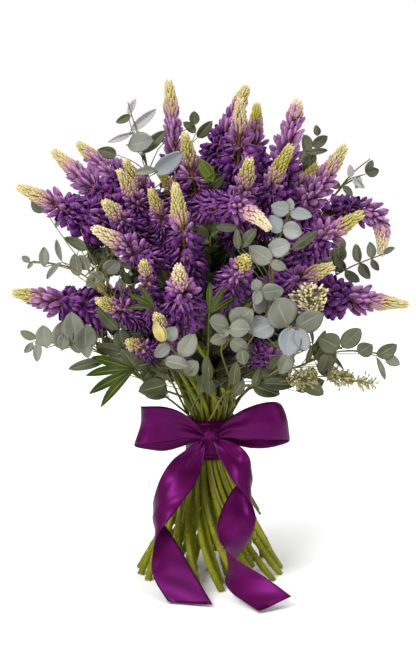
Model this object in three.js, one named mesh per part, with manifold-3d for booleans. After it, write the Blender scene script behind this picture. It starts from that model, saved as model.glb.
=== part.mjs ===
// A hand-tied bouquet of purple lupin flower spikes with eucalyptus, bound by a satin ribbon with a bow.
// Millimetres, +Z up. The origin is the middle of the circle of cut stem ends, which stand on z = 0.
// The bow faces -Y and +X is to its right. Every stem passes through the tie as part of one spiral:
// at each height below it the stems keep the pattern that they have there, turned and spread.
import * as THREE from "three";
import { mergeVertices } from "three/addons/utils/BufferGeometryUtils.js";
import Module from "manifold-3d";

const wasm = await Module();
wasm.setup();

// ---------------------------------------------------------------- driving dimensions
const TIE_HEIGHT = 154; // middle of the ribbon band
const BAND_HEIGHT = 48; // two turns of the ribbon, one a little above the other
const BAND_THICK = 1.2;
const RIBBON_THICK = 0.9;
const WAIST_LOW = TIE_HEIGHT - BAND_HEIGHT / 2;
const WAIST_HIGH = TIE_HEIGHT + BAND_HEIGHT / 2;
const BAND_RADIUS = 26.4; // inside of the ribbon band
const FOOT_SPREAD = 4.1; // how far the cut ends stand apart, in multiples of their places at the tie
const FOOT_CURVE = 1.2;
const FOOT_TWIST = 0.85; // radians that the spiral turns from the tie to the cut ends
const HEAD_TWIST = 0.3; // radians that it turns from the tie to the flower heads
const HEAD_FLARE = 0.65; // outward slope of the outer stems just above the tie
const SHORTEST_FOOT = 42; // some stems are cut short by up to this much

const STEM_RINGS = [1, 6, 12, 21]; // lupin stems in each ring at the tie, from the middle outwards
const STEM_RING_RADII = [0, 6.4, 12.8, 19.4];
const STEM_RADIUS = 2.6;
const FOOT_RADIUS = 3.9;
const NECK_RADIUS = 2.1; // halfway from the tie to the lowest florets
const RACHIS_RADIUS = 1.7; // inside the florets
const STEM_RISE = 0.7; // how straight a stem runs on from the tie, as a share of its length to the florets
const STEM_ARRIVAL = 0.75; // how straight it runs into the florets
const PLUG_RADIUS = 22.5; // the stems crush into one body here, under the ribbon
const PLUG_HALF_HEIGHT = 7;
const STEM_SIDES = 4;
const ROUND_SIDES = 24;

const WHORL_STEP = 13; // between one ring of florets and the next
const BORE_RADIUS = 2.9; // the florets' sleeve round the stem
const CLEARANCE = 0.5; // between the florets and the bud cone above them
const VALLEY = 0.52; // radius between two florets, as a share of the floret's reach
const SLIM_REACH = 13; // up to this reach a whorl has one floret fewer
const LOWER_LIFT = 1.5; // a floret's peak stands this far above its whorl at the bottom
const UPPER_LIFT = 4.5; // and this far where the buds begin
const BENT_STEPS = 4; // straight lengths along a bent rachis
const BUD_CONE_RADIUS = 7.6;
const BUD_FOOT_RADIUS = 3.6;

const TWIG_RING_RADIUS = 24.3; // foliage passes through the tie outside the lupin stems
const TWIG_SLOTS = 18;
const TWIG_RADIUS = 1.4;
const TWIG_TIP_RADIUS = 0.8;
const TWIG_FOOT = 66; // twigs are cut this far above the lupin stems' ends
const LEAF_THICK = 2.4; // where a leaf meets its twig
const LEAF_RIM = 5; // points round a leaf, its base left out
const LEAF_WIDTH = 0.86; // of its length
const LEAF_CUP = 0.07; // how far its sides stand up, in its lengths
const GAP = 0.3; // between pieces that touch
const SPRAY_SEED = 41;
const SEED_ROWS = 4;
const SEED_SIDES = 6;
const NODE_STEP = 1.08; // from one pair of leaves to the next, in lengths of a leaf
const NODE_TURN = 0.45; // radians that each pair is turned from its spray's face, to one side and the other
const LEAF_TAPER = 0.5; // the last leaf of a spray beside its longest
const HUB_SHARE = 0.06; // how far the hub of a lupin leaf reaches behind its petiole's end, of its reach
const LEAFLET_HALF = 0.17; // radians from a leaflet's middle to its edge, where it is widest

// ---------------------------------------------------------------- where each lupin spike stands
// tip and base are the two ends of the flowering part; a curved one bends towards via; reach is the florets'
// radius; buds is the length of the pale cone of unopened buds at the tip.
const SPIKES = [
  { name: "far_left", tip: [-204, -45, 432], base: [-98, -14, 380], reach: 22, buds: 32 },
  { name: "low_left", tip: [-209, -60, 321], base: [-93, -27, 294], reach: 22, buds: 26 },
  { name: "left_high", tip: [-176, 50, 468], base: [-89, 14, 392], reach: 19, buds: 30 },
  { name: "left_back", tip: [-153, 105, 475], base: [-68, 52, 408], reach: 20, buds: 28 },
  { name: "left_pair_a", tip: [-90, -45, 459], base: [-42, 8, 378], reach: 15, buds: 28 },
  { name: "left_pair_b", tip: [-94, -85, 451], base: [-61, -31, 383], reach: 14, buds: 32 },
  { name: "top_left", tip: [-46, 60, 546], base: [-35, 28, 422], reach: 17, buds: 36 },
  { name: "upper_mid", tip: [-27, -55, 488], base: [-8, -7, 382], reach: 18, buds: 32 },
  { name: "green_bud", tip: [-56, -95, 455], base: [-14, -40, 390], reach: 10, buds: 32 },
  { name: "tall_front", tip: [-35, -140, 439], base: [-20, -88, 330], reach: 19, buds: 38 },
  { name: "small_left", tip: [-60, -125, 433], base: [-38, -58, 362], reach: 12, buds: 28 },
  { name: "left_inner", tip: [-107, -120, 420], base: [-66, -48, 369], reach: 15, buds: 24 },
  { name: "cream_left", tip: [-117, -140, 395], base: [-50, -86, 350], reach: 16, buds: 30 },
  { name: "top_centre", tip: [32, -25, 525], base: [29, 7, 408], reach: 22, buds: 32 },
  { name: "top_behind", tip: [41, 45, 539], base: [-6, 40, 432], reach: 18, buds: 24 },
  { name: "top_green", tip: [54, 100, 521], base: [46, 65, 408], reach: 18, buds: 30 },
  { name: "top_right", tip: [96, 15, 523], base: [70, 10, 408], reach: 20, buds: 16 },
  { name: "bent_bud", tip: [84, -84, 476], base: [51, -30, 380], via: [60, -60, 438], reach: 17, buds: 44 },
  { name: "centre_high", tip: [40, -110, 463], base: [24, -50, 370], reach: 17, buds: 28 },
  { name: "long_right", tip: [142, -55, 475], base: [76, -6, 368], reach: 20, buds: 30 },
  { name: "right_behind", tip: [122, 70, 452], base: [56, 44, 372], reach: 16, buds: 26 },
  { name: "hook_right", tip: [186, -2, 354], base: [98, 30, 386], via: [204, 14, 432], reach: 17, buds: 30 },
  { name: "right_mid", tip: [156, -100, 407], base: [68, -48, 344], reach: 20, buds: 30 },
  { name: "right_inner", tip: [124, -128, 356], base: [44, -72, 314], reach: 18, buds: 28 },
  { name: "far_right", tip: [210, -60, 308], base: [86, -30, 316], reach: 22, buds: 34 },
  { name: "droop", tip: [58, -170, 395], base: [-14, -98, 406], via: [24, -148, 432], reach: 16, buds: 30 },
  { name: "end_on", tip: [35, -180, 369], base: [14, -84, 316], reach: 18, buds: 20 },
  { name: "burst", tip: [-31, -180, 361], base: [-26, -106, 296], reach: 21, buds: 28 },
  { name: "small_up", tip: [-66, -155, 363], base: [-58, -88, 298], reach: 12, buds: 16 },
  { name: "low_inner", tip: [-114, -130, 321], base: [-54, -46, 286], reach: 15, buds: 24 },
  { name: "low_front", tip: [-54, -156, 310], base: [-30, -76, 253], reach: 12, buds: 18 },
  { name: "low_bud", tip: [-84, -125, 278], base: [-46, -50, 250], reach: 12, buds: 18 },
  { name: "low_right", tip: [82, -105, 250], base: [26, -46, 258], reach: 16, buds: 18 },
  { name: "back_left", tip: [-135, 150, 415], base: [-64, 78, 346], reach: 20, buds: 30 },
  { name: "back_mid_left", tip: [-22, 190, 432], base: [-9, 101, 343], reach: 20, buds: 30 },
  { name: "back_mid_right", tip: [52, 195, 415], base: [27, 104, 332], reach: 20, buds: 30 },
  { name: "back_right", tip: [140, 140, 395], base: [70, 72, 326], reach: 20, buds: 30 },
  { name: "back_low_left", tip: [-140, 140, 305], base: [-54, 68, 280], reach: 20, buds: 28 },
  { name: "back_low_right", tip: [140, 135, 290], base: [54, 64, 268], reach: 20, buds: 28 },
  { name: "back_low", tip: [2, 208, 318], base: [0, 94, 272], reach: 20, buds: 30 },
];

// Eucalyptus sprays. slot counts places round the tie from the front, to the right; path is the twig above
// the tie; face is the way its leaves face; from is where along the path the leaves begin; leaf is the length
// of the longest.
const EUCALYPTUS = [
  { name: "right_front_high", slot: 1, face: [0.1, -1, 0.2], from: 0.42, leaf: 30,
    path: [[30, -75, 251], [59, -132, 313], [60, -152, 368], [88, -148, 420]] },
  { name: "right_front_low", slot: 2, face: [0.1, -1, 0.3], from: 0.38, leaf: 35,
    path: [[20, -70, 228], [12, -118, 273], [42, -146, 292], [90, -144, 298]] },
  { name: "left_front_low", slot: 17, face: [-0.2, -1, 0.3], from: 0.32, leaf: 28,
    path: [[-11, -70, 224], [-21, -118, 252], [-34, -146, 270], [-58, -156, 290]] },
  { name: "left_low", slot: 15, face: [-0.1, -1, 0.5], from: 0.24, leaf: 30,
    path: [[-49, -9, 200], [-100, -58, 246], [-136, -80, 268], [-196, -85, 271]] },
  { name: "left_mid", slot: 14, face: [-0.1, -1, 0.1], from: 0.54, leaf: 24,
    path: [[-54, -28, 242], [-99, -70, 310], [-146, -56, 346], [-196, -45, 352]] },
  { name: "left_high", slot: 13, face: [-0.3, -1, 0.1], from: 0.7, leaf: 24,
    path: [[-47, 22, 252], [-56, 24, 345], [-62, 22, 405], [-70, 5, 455], [-88, -8, 520]] },
  { name: "top_right", slot: 6, face: [0.2, -1, 0.3], from: 0.55, leaf: 23,
    path: [[34, 40, 267], [85, 70, 378], [111, 85, 445], [132, 95, 486]] },
  { name: "right_high", slot: 5, face: [0.2, -1, 0.2], from: 0.7, leaf: 22,
    path: [[44, 22, 260], [88, 62, 345], [132, 66, 405], [156, 44, 440], [178, 30, 460]] },
  { name: "right_mid", slot: 4, face: [0.2, -1, 0.1], from: 0.45, leaf: 26,
    path: [[39, 0, 250], [99, 0, 306], [146, -20, 341], [191, -30, 361]] },
  { name: "right_low", slot: 3, face: [0.2, -1, 0.4], from: 0.24, leaf: 30,
    path: [[46, -24, 216], [96, -66, 244], [140, -82, 262], [194, -80, 256]] },
  { name: "back_right", slot: 8, face: [0.4, 1, 0.4], from: 0.25, leaf: 32,
    path: [[24, 62, 240], [62, 120, 275], [104, 168, 292], [130, 196, 330]] },
  { name: "back_left", slot: 10, face: [-0.4, 1, 0.4], from: 0.25, leaf: 32,
    path: [[-20, 60, 236], [-46, 124, 256], [-84, 176, 276], [-116, 204, 330]] },
];

// Seeded eucalyptus: a twig and its branch, with clusters of seeds at these shares of their paths.
const SEEDED = {
  slot: 0,
  path: [[20, -60, 216], [60, -98, 230], [112, -112, 240], [160, -100, 232]],
  clusters: [
    { at: 0.7, length: 26, radius: 9 },
    { at: 0.86, length: 24, radius: 8 },
    { at: 1, length: 22, radius: 7 },
  ],
  branch: { from: 0.42, path: [[86, -126, 264], [100, -136, 305], [94, -134, 336]] },
  branchClusters: [{ at: 0.94, length: 36, radius: 12 }],
};

// Lupin leaves: palmate, each on its petiole. hub is where the leaflets meet, face the way they are turned,
// bow how far the middle of the petiole stands off the straight line.
const LUPIN_LEAVES = [
  { name: "left", slot: 16, path: [[-26, -50, 205], [-62, -84, 226], [-78, -104, 246]], leaves: [
    { hub: [-78, -104, 246], from: [-62, -84, 226], bow: [0, 0, 0],
      face: [-0.3, -0.8, 0.5], reach: 54, turn: -1.2, spread: 0.8, fingers: 5 },
    { hub: [-1, -160, 312], from: [-20, -33, 191], bow: [6, -14, -14],
      face: [0.1, -1, 0.3], reach: 32, turn: 0.47, spread: 0.5, fingers: 3 },
    { hub: [-55, -150, 316], from: [-62, -84, 226], bow: [-8, 0, -6],
      face: [-0.2, -1, 0.3], reach: 30, turn: -1.42, spread: 0.5, fingers: 3 },
  ] },
  { name: "right", slot: 7, path: [[36, 40, 214], [76, 70, 230], [120, 96, 240]], leaves: [
    { hub: [120, 96, 240], from: [76, 70, 230], bow: [0, 0, -3],
      face: [0.6, 0.7, 0.5], reach: 46, turn: 0, spread: 2.2, fingers: 7 },
    { hub: [10, 150, 246], from: [36, 40, 214], bow: [0, 0, -6],
      face: [0, 1, 0.5], reach: 42, turn: 0, spread: 2.2, fingers: 7 },
  ] },
];

// The two edges of each stretch of ribbon, station by station. Round a loop the first is the upper edge.
const LOOP_LEFT = [
  [[-8, -43, 168], [-8, -43, 160]],
  [[-19, -49, 182], [-22, -48, 161]],
  [[-33, -57, 193], [-36, -57, 161]],
  [[-48, -63, 199], [-53, -65, 160]],
  [[-62, -65, 200], [-68, -67, 159]],
  [[-70, -61, 199], [-79, -62, 158]],
  [[-74, -53, 197], [-82, -53, 155]],
  [[-71, -46, 193], [-79, -46, 151]],
  [[-62, -42, 189], [-65, -41, 147]],
  [[-45, -39, 184], [-51, -38, 145]],
  [[-27, -37, 176], [-35, -37, 148]],
  [[-8, -36, 167], [-8, -36, 158]],
];
const LOOP_RIGHT = [
  [[8, -43, 168], [8, -43, 160]],
  [[19, -49, 182], [20, -48, 162]],
  [[32, -57, 193], [35, -57, 161]],
  [[45, -63, 200], [51, -65, 163]],
  [[58, -65, 204], [66, -67, 164]],
  [[70, -61, 204], [79, -62, 163]],
  [[76, -53, 200], [85, -53, 160]],
  [[74, -46, 196], [81, -46, 155]],
  [[63, -42, 191], [67, -41, 150]],
  [[47, -39, 186], [52, -38, 148]],
  [[28, -37, 177], [35, -37, 150]],
  [[8, -36, 167], [8, -36, 158]],
];
const TAIL_LEFT = [
  [[-11, -41, 159], [-5, -41, 155]],
  [[-23, -48, 151], [-6, -44, 143]],
  [[-40, -58, 140], [-9, -54, 130]],
  [[-52, -66, 124], [-16, -70, 116]],
  [[-60, -62, 102], [-28, -82, 102]],
  [[-62, -54, 84], [-40, -86, 88]],
  [[-57, -54, 72], [-52, -92, 73]],
  [[-47, -62, 66], [-60, -94, 54]],
  [[-34, -76, 50], [-62, -98, 36]],
  [[-21, -94, 33], [-58, -104, 20]],
  [[3, -132, 3], [-44, -120, 3]],
];
const TAIL_RIGHT = [
  [[10, -41, 160], [4, -41, 155]],
  [[24, -50, 158], [8, -44, 145]],
  [[36, -58, 152], [13, -54, 136]],
  [[43, -58, 140], [19, -68, 127]],
  [[44, -52, 123], [28, -80, 116]],
  [[38, -48, 111], [38, -84, 105]],
  [[27, -52, 109], [47, -80, 88]],
  [[17, -64, 96], [47, -76, 71]],
  [[10, -78, 82], [41, -76, 54]],
  [[8, -94, 70], [31, -78, 40]],
  [[14, -106, 58], [21, -86, 27]],
  [[29, -112, 46], [17, -98, 17]],
  [[54, -120, 32], [25, -116, 9]],
  [[84, -136, 14], [50, -152, 3]],
];
const KNOT = { at: [0, -37.2, 163.5], length: 17, radius: 9, height: 7.5, sides: 10 };

// ---------------------------------------------------------------- small helpers
const vec = (a) => new THREE.Vector3(a[0], a[1], a[2]);
const mix = (a, b, t) => a + (b - a) * t;

// The same 32-bit generator gives the same draws wherever it is written.
function draws(seed) {
  let state = seed >>> 0;
  return () => {
    state = (Math.imul(state, 1664525) + 1013904223) >>> 0;
    return state / 4294967296;
  };
}

// ---------------------------------------------------------------- meshes from rings
class Skin {
  constructor() {
    this.points = [];
    this.faces = [];
  }
  add(point) {
    this.points.push(point.x, point.y, point.z);
    return this.points.length / 3 - 1;
  }
  ring(points) {
    return points.map((p) => this.add(p));
  }
  // The wall between two rings of as many points, facing away from the axis. turned picks each quad's
  // diagonal.
  wall(low, high, turned = () => false) {
    const n = low.length;
    for (let j = 0; j < n; j++) {
      const [a, b, c, d] = [low[j], low[(j + 1) % n], high[(j + 1) % n], high[j]];
      if (turned(j)) this.faces.push(a, b, d, b, c, d);
      else this.faces.push(a, b, c, a, c, d);
    }
  }
  // The wall between two rings where the upper one is turned on by half a step.
  zigzag(low, high) {
    const n = low.length;
    for (let j = 0; j < n; j++) {
      const k = (j + 1) % n;
      this.faces.push(low[j], low[k], high[j], low[k], high[k], high[j]);
    }
  }
  // Both faces of a blade, from a point above and a point below to the rim between them.
  blade(top, bottom, rim) {
    for (let k = 0; k + 1 < rim.length; k++) {
      this.faces.push(top, rim[k], rim[k + 1], bottom, rim[k + 1], rim[k]);
    }
  }
  cap(ring, centre, up) {
    const n = ring.length;
    for (let j = 0; j < n; j++) {
      const [a, b] = [ring[j], ring[(j + 1) % n]];
      this.faces.push(...(up ? [a, b, centre] : [b, a, centre]));
    }
  }
  solid() {
    const mesh = new wasm.Mesh({
      numProp: 3,
      vertProperties: new Float32Array(this.points),
      triVerts: new Uint32Array(this.faces),
    });
    return new wasm.Manifold(mesh);
  }
}

function joined(solids) {
  return solids.reduce((whole, next) => whole.add(next));
}

function geometryOf(solid) {
  const mesh = solid.getMesh();
  const stride = mesh.numProp;
  const position = new Float32Array(mesh.numVert * 3);
  for (let i = 0; i < mesh.numVert; i++) {
    position.set(mesh.vertProperties.subarray(i * stride, i * stride + 3), i * 3);
  }
  const geometry = new THREE.BufferGeometry();
  geometry.setAttribute("position", new THREE.BufferAttribute(position, 3));
  geometry.setIndex(new THREE.BufferAttribute(new Uint32Array(mesh.triVerts), 1));
  return geometry;
}

// A three.js primitive as a solid.
function solidOf(geometry) {
  geometry.deleteAttribute("normal");
  geometry.deleteAttribute("uv");
  const merged = mergeVertices(geometry, 1e-4);
  const mesh = new wasm.Mesh({
    numProp: 3,
    vertProperties: new Float32Array(merged.attributes.position.array),
    triVerts: new Uint32Array(merged.index.array),
  });
  return new wasm.Manifold(mesh);
}

// ---------------------------------------------------------------- lines through the bouquet
// Where a stem that has the place (x, y) at the tie is at height z below the ribbon.
function fanned(place, z) {
  const t = Math.max(0, (WAIST_LOW - z) / WAIST_LOW);
  const spread = 1 + (FOOT_SPREAD - 1) * Math.pow(t, FOOT_CURVE);
  const turn = FOOT_TWIST * t;
  const [x, y] = place;
  return vec([
    spread * (x * Math.cos(turn) - y * Math.sin(turn)),
    spread * (x * Math.sin(turn) + y * Math.cos(turn)),
    z,
  ]);
}

// A cubic from a to b that leaves along from and arrives along to.
function hermite(a, from, b, to, t) {
  const [t2, t3] = [t * t, t * t * t];
  return new THREE.Vector3()
    .addScaledVector(a, 2 * t3 - 3 * t2 + 1)
    .addScaledVector(from, t3 - 2 * t2 + t)
    .addScaledVector(b, 3 * t2 - 2 * t3)
    .addScaledVector(to, t3 - t2);
}

// Unit axes across each point of a line, carried along it from its last point without twist.
function acrossAxes(points) {
  const along = points.map((p, i) => {
    const ahead = points[Math.min(i + 1, points.length - 1)];
    const behind = points[Math.max(i - 1, 0)];
    return ahead.clone().sub(behind).normalize();
  });
  const last = points.length - 1;
  const start = Math.abs(along[last].z) < 0.9 ? vec([0, 0, 1]) : vec([0, 1, 0]);
  const axes = [];
  let normal = start.addScaledVector(along[last], -start.dot(along[last])).normalize();
  for (let i = last; i >= 0; i--) {
    normal = normal.clone().addScaledVector(along[i], -normal.dot(along[i])).normalize();
    axes[i] = { along: along[i], normal, side: along[i].clone().cross(normal) };
  }
  return axes;
}

// One point of a ring round a station: at an angle, a radius and a lift along the axis.
function ringPoint(centre, axes, angle, radius, lift = 0) {
  return centre
    .clone()
    .addScaledVector(axes.normal, radius * Math.cos(angle))
    .addScaledVector(axes.side, radius * Math.sin(angle))
    .addScaledVector(axes.along, lift);
}

function ringPoints(centre, axes, sides, radius, phase = 0) {
  return Array.from({ length: sides }, (_, j) =>
    ringPoint(centre, axes, ((j + phase) / sides) * 2 * Math.PI, radius),
  );
}

// ---------------------------------------------------------------- lupin spikes
// Each spike takes a place in the rings at the tie: the more it leans out, the further out its stem passes,
// and round each ring they keep the order of their heads.
function tiePlaces() {
  const lean = (s) => Math.hypot(s.base[0], s.base[1]) / (s.base[2] - TIE_HEIGHT);
  const heading = (s) => Math.atan2(s.base[1], s.base[0]);
  const byLean = [...SPIKES].sort((a, b) => lean(a) - lean(b));
  const places = new Map();
  let first = 0;
  STEM_RINGS.forEach((count, ring) => {
    const members = byLean.slice(first, first + count).sort((a, b) => heading(a) - heading(b));
    const start = heading(members[0]) + HEAD_TWIST;
    members.forEach((spike, k) => {
      const angle = start + (k / count) * 2 * Math.PI;
      const radius = STEM_RING_RADII[ring];
      places.set(spike.name, [radius * Math.cos(angle), radius * Math.sin(angle)]);
    });
    first += count;
  });
  return places;
}

// The middle line of the flowering part, from its base at 0 to its tip at 1.
function racemeAt(spike, t) {
  const via = spike.via ?? spike.base.map((b, i) => (b + spike.tip[i]) / 2);
  const share = [(1 - t) * (1 - t), 2 * t * (1 - t), t * t];
  return vec(spike.base.map((b, i) => share[0] * b + share[1] * via[i] + share[2] * spike.tip[i]));
}

function racemeLength(spike) {
  const points = Array.from({ length: 9 }, (_, k) => racemeAt(spike, k / 8));
  return points.slice(1).reduce((sum, p, k) => sum + p.distanceTo(points[k]), 0);
}

// Where the purple florets end and the pale buds begin, as a share of the flowering part.
const floretShare = (spike) => 1 - spike.buds / racemeLength(spike);

const LOWER_STATIONS = [0, 0.45];
const UPPER_STATIONS = [0.5];
const BUD_RINGS = [
  { at: 0.14, radius: 1.0 },
  { at: 0.36, radius: 0.7 },
  { at: 0.56, radius: 0.82 },
  { at: 0.76, radius: 0.56 },
];

// All the stations of one stem from its cut end to its tip.
function stemLine(spike, place, order) {
  const out = Math.hypot(...place);
  const inner = out > STEM_RING_RADII[0] + 1 && out < STEM_RING_RADII.at(-1) - 1;
  const foot = inner && order % 3 === 1 ? (SHORTEST_FOOT * (((order * 7) % 5) + 1)) / 5 : 0;
  const stations = LOWER_STATIONS.map((t) => {
    const z = mix(foot, WAIST_LOW, t);
    return { at: fanned(place, z), radius: mix(FOOT_RADIUS, STEM_RADIUS, t) };
  });
  const low = vec([...place, WAIST_LOW]);
  const high = vec([...place, WAIST_HIGH]);
  stations.push({ at: low, radius: STEM_RADIUS }, { at: high, radius: STEM_RADIUS });

  const base = racemeAt(spike, 0);
  const leave = racemeAt(spike, 0.1).sub(base).normalize();
  const gap = base.distanceTo(high);
  const flare = HEAD_FLARE / STEM_RING_RADII.at(-1);
  const rise = vec([flare * place[0], flare * place[1], 1]).multiplyScalar(gap * STEM_RISE);
  const arrive = leave.multiplyScalar(gap * STEM_ARRIVAL);
  UPPER_STATIONS.forEach((t) => {
    stations.push({ at: hermite(high, rise, base, arrive, t), radius: mix(STEM_RADIUS, NECK_RADIUS, 2 * t) });
  });

  const share = floretShare(spike);
  const steps = rachisSteps(spike);
  for (let k = 0; k <= steps; k++) {
    stations.push({ at: racemeAt(spike, (share * k) / steps), radius: RACHIS_RADIUS });
  }
  const clear = CLEARANCE / racemeLength(spike);
  stations.push({ at: racemeAt(spike, share + clear), radius: BUD_FOOT_RADIUS });
  BUD_RINGS.forEach(({ at, radius }) => {
    stations.push({ at: racemeAt(spike, mix(share, 1, at)), radius: radius * budRadius(spike), bud: true });
  });
  return stations;
}

const budRadius = (spike) => Math.min(BUD_CONE_RADIUS, spike.reach * 0.46);
const rachisSteps = (spike) => (spike.via ? BENT_STEPS : 1);

function stemSolid(stations, tip) {
  const axes = acrossAxes([...stations.map((s) => s.at), tip]);
  const skin = new Skin();
  let phase = 0;
  let below = null;
  let first = null;
  stations.forEach((station, i) => {
    const turnedOn = Boolean(station.bud);
    if (turnedOn) phase += 0.5;
    let points = ringPoints(station.at, axes[i], STEM_SIDES, station.radius, phase);
    if (i === 0) points = points.map((p) => flatCut(p, axes[i].along, station.at.z));
    const ring = skin.ring(points);
    if (below && turnedOn) skin.zigzag(below, ring);
    else if (below) skin.wall(below, ring);
    below = ring;
    first ??= ring;
  });
  skin.cap(below, skin.add(tip), true);
  skin.cap(first, skin.add(stations[0].at), false);
  return skin.solid();
}

// Slides a point along the stem to the level at which the stem is cut.
function flatCut(point, along, level) {
  return point.clone().addScaledVector(along, (level - point.z) / along.z);
}

// The florets round the stem: a sleeve with a bore, raised by formula into a peak for each floret.
// Peaks and valleys alternate round each whorl and from one whorl to the next.
function floretSolid(spike, axesOf) {
  const petals = spike.reach > SLIM_REACH ? 5 : 4;
  const share = floretShare(spike);
  const span = share * racemeLength(spike);
  const whorls = Math.max(5, Math.round(span / WHORL_STEP));
  const skin = new Skin();
  const outer = [];
  for (let k = 0; k < whorls; k++) {
    const u = k / (whorls - 1);
    const edge = k === 0 || k === whorls - 1;
    const reach = floretReach(spike, u);
    const centre = racemeAt(spike, share * u);
    const axes = axesOf(share * u);
    const points = [];
    for (let j = 0; j < 2 * petals; j++) {
      const peak = (j + k) % 2 === 0;
      const radius = peak ? reach : reach * VALLEY;
      const lift = edge || !peak ? 0 : mix(LOWER_LIFT, UPPER_LIFT, u);
      points.push(ringPoint(centre, axes, (j / (2 * petals)) * 2 * Math.PI, radius, lift));
    }
    outer.push(skin.ring(points));
  }
  for (let k = 0; k + 1 < whorls; k++) {
    skin.wall(outer[k], outer[k + 1], (j) => (j + k) % 2 === 0);
  }
  const steps = rachisSteps(spike);
  const bore = [];
  for (let k = 0; k <= steps; k++) {
    const t = (share * k) / steps;
    bore.push(skin.ring(ringPoints(racemeAt(spike, t), axesOf(t), petals, BORE_RADIUS)));
  }
  for (let k = 0; k < steps; k++) skin.wall(bore[k + 1], bore[k]);
  endFace(skin, outer[0], bore[0], false);
  endFace(skin, outer[whorls - 1], bore[steps], true);
  return skin.solid();
}

// How far the florets reach out, from the base of the florets at 0 to the buds at 1: they hang back a little
// at the bottom and close in towards the buds.
function floretReach(spike, u) {
  const shoulder = mix(0.72, 1, Math.min(1, u / 0.18));
  const top = budRadius(spike) + 3.5;
  return shoulder * mix(spike.reach * 1.06, top, u * u);
}

// The flat ring that closes a sleeve, from its outer ring to a bore with half as many points.
function endFace(skin, outer, bore, up) {
  const face = (a, b, c) => skin.faces.push(...(up ? [a, c, b] : [a, b, c]));
  const [n, m] = [outer.length, bore.length];
  for (let i = 0; i < m; i++) {
    const before = outer[(2 * i - 1 + n) % n];
    const middle = outer[2 * i];
    const after = outer[(2 * i + 1) % n];
    face(before, bore[i], middle);
    face(middle, bore[i], after);
    face(bore[i], bore[(i + 1) % m], after);
  }
}

// The axes across the flowering part, which turn with it as it bends. Their guide is the frame's axis that
// the flowering part stays furthest from, so that they never flip.
function racemeAxes(spike) {
  const heading = (t) => racemeAt(spike, t + 0.02).sub(racemeAt(spike, t - 0.02)).normalize();
  const closest = (axis) => Math.max(...[0, 0.5, 1].map((t) => Math.abs(heading(t).dot(axis))));
  const frame = [vec([0, 0, 1]), vec([0, 1, 0]), vec([1, 0, 0])];
  const guide = frame.sort((a, b) => closest(a) - closest(b))[0];
  return (t) => {
    const along = heading(t);
    const normal = guide.clone().addScaledVector(along, -guide.dot(along)).normalize();
    return { along, normal, side: along.clone().cross(normal) };
  };
}

// ---------------------------------------------------------------- foliage
// A smooth curve through points by uniform Catmull-Rom, at t from 0 to 1.
function smoothAt(points, t) {
  const spans = points.length - 1;
  const k = Math.min(spans - 1, Math.floor(t * spans));
  const u = t * spans - k;
  const at = (i) => {
    if (i < 0) return points[0].clone().multiplyScalar(2).sub(points[1]);
    if (i > spans) return points[spans].clone().multiplyScalar(2).sub(points[spans - 1]);
    return points[i];
  };
  const [a, b, c, d] = [at(k - 1), at(k), at(k + 1), at(k + 2)];
  const leave = c.clone().sub(a).multiplyScalar(0.5);
  const arrive = d.clone().sub(b).multiplyScalar(0.5);
  return hermite(b, leave, c, arrive, u);
}

// A twig's place at the tie.
function slotPlace(slot) {
  const angle = ((slot / TWIG_SLOTS) * 2 - 0.5) * Math.PI;
  return [TWIG_RING_RADIUS * Math.cos(angle), TWIG_RING_RADIUS * Math.sin(angle)];
}

// A three-sided tube along points, narrowing from its foot to its tip.
function tube(points, foot, tip) {
  const axes = acrossAxes(points);
  const skin = new Skin();
  const rings = points.map((p, i) =>
    skin.ring(ringPoints(p, axes[i], 3, mix(foot, tip, i / (points.length - 1)))),
  );
  rings.slice(1).forEach((ring, i) => skin.wall(rings[i], ring));
  skin.cap(rings.at(-1), skin.add(points.at(-1)), true);
  skin.cap(rings[0], skin.add(points[0]), false);
  return skin.solid();
}

// The line of a twig from its cut foot, through the tie, and on to these shares of its path.
function twigPoints(slot, path, shares) {
  const place = slotPlace(slot);
  const foot = [TWIG_FOOT, mix(TWIG_FOOT, WAIST_LOW, 0.5), WAIST_LOW].map((z) => fanned(place, z));
  const route = twigRoute(slot, path);
  return [...foot, ...[0, ...shares].map((t) => smoothAt(route, t))];
}

const twigRoute = (slot, path) => [vec([...slotPlace(slot), WAIST_HIGH]), ...path.map(vec)];

// The rim of a round leaf from one side of its base, past its tip, to the other side.
function leafRim({ base, along, face, length, width, cup }) {
  const side = along.clone().cross(face).normalize();
  const up = side.clone().cross(along).normalize();
  return Array.from({ length: LEAF_RIM }, (_, k) => {
    const angle = ((k + 1) / (LEAF_RIM + 1)) * 2 * Math.PI;
    return base
      .clone()
      .addScaledVector(along, (length * (1 - Math.cos(angle))) / 2)
      .addScaledVector(side, (width / 2) * Math.sin(angle))
      .addScaledVector(up, cup * Math.abs(Math.sin(angle)));
  });
}

// Leaves that meet at one point: thickest there, and thinning to a rim that runs round them all.
function leavesSolid(centre, up, rim) {
  const skin = new Skin();
  const edge = skin.ring(rim);
  skin.cap(edge, skin.add(centre.clone().addScaledVector(up, LEAF_THICK / 2)), true);
  skin.cap(edge, skin.add(centre.clone().addScaledVector(up, -LEAF_THICK / 2)), false);
  return skin.solid();
}

// Where the leaves of a spray grow: shares of its path, closer together as the leaves get smaller.
function leafNodes(spray, route) {
  const length = routeLength(route);
  const nodes = [];
  for (let t = spray.from; t < 1; ) {
    const size = spray.leaf * mix(1, LEAF_TAPER, Math.pow((t - spray.from) / (1 - spray.from), 1.5));
    nodes.push({ t, size });
    t += (size * NODE_STEP) / length;
  }
  return nodes;
}

function routeLength(route) {
  const points = Array.from({ length: 25 }, (_, k) => smoothAt(route, k / 24));
  return points.slice(1).reduce((sum, p, k) => sum + p.distanceTo(points[k]), 0);
}

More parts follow.
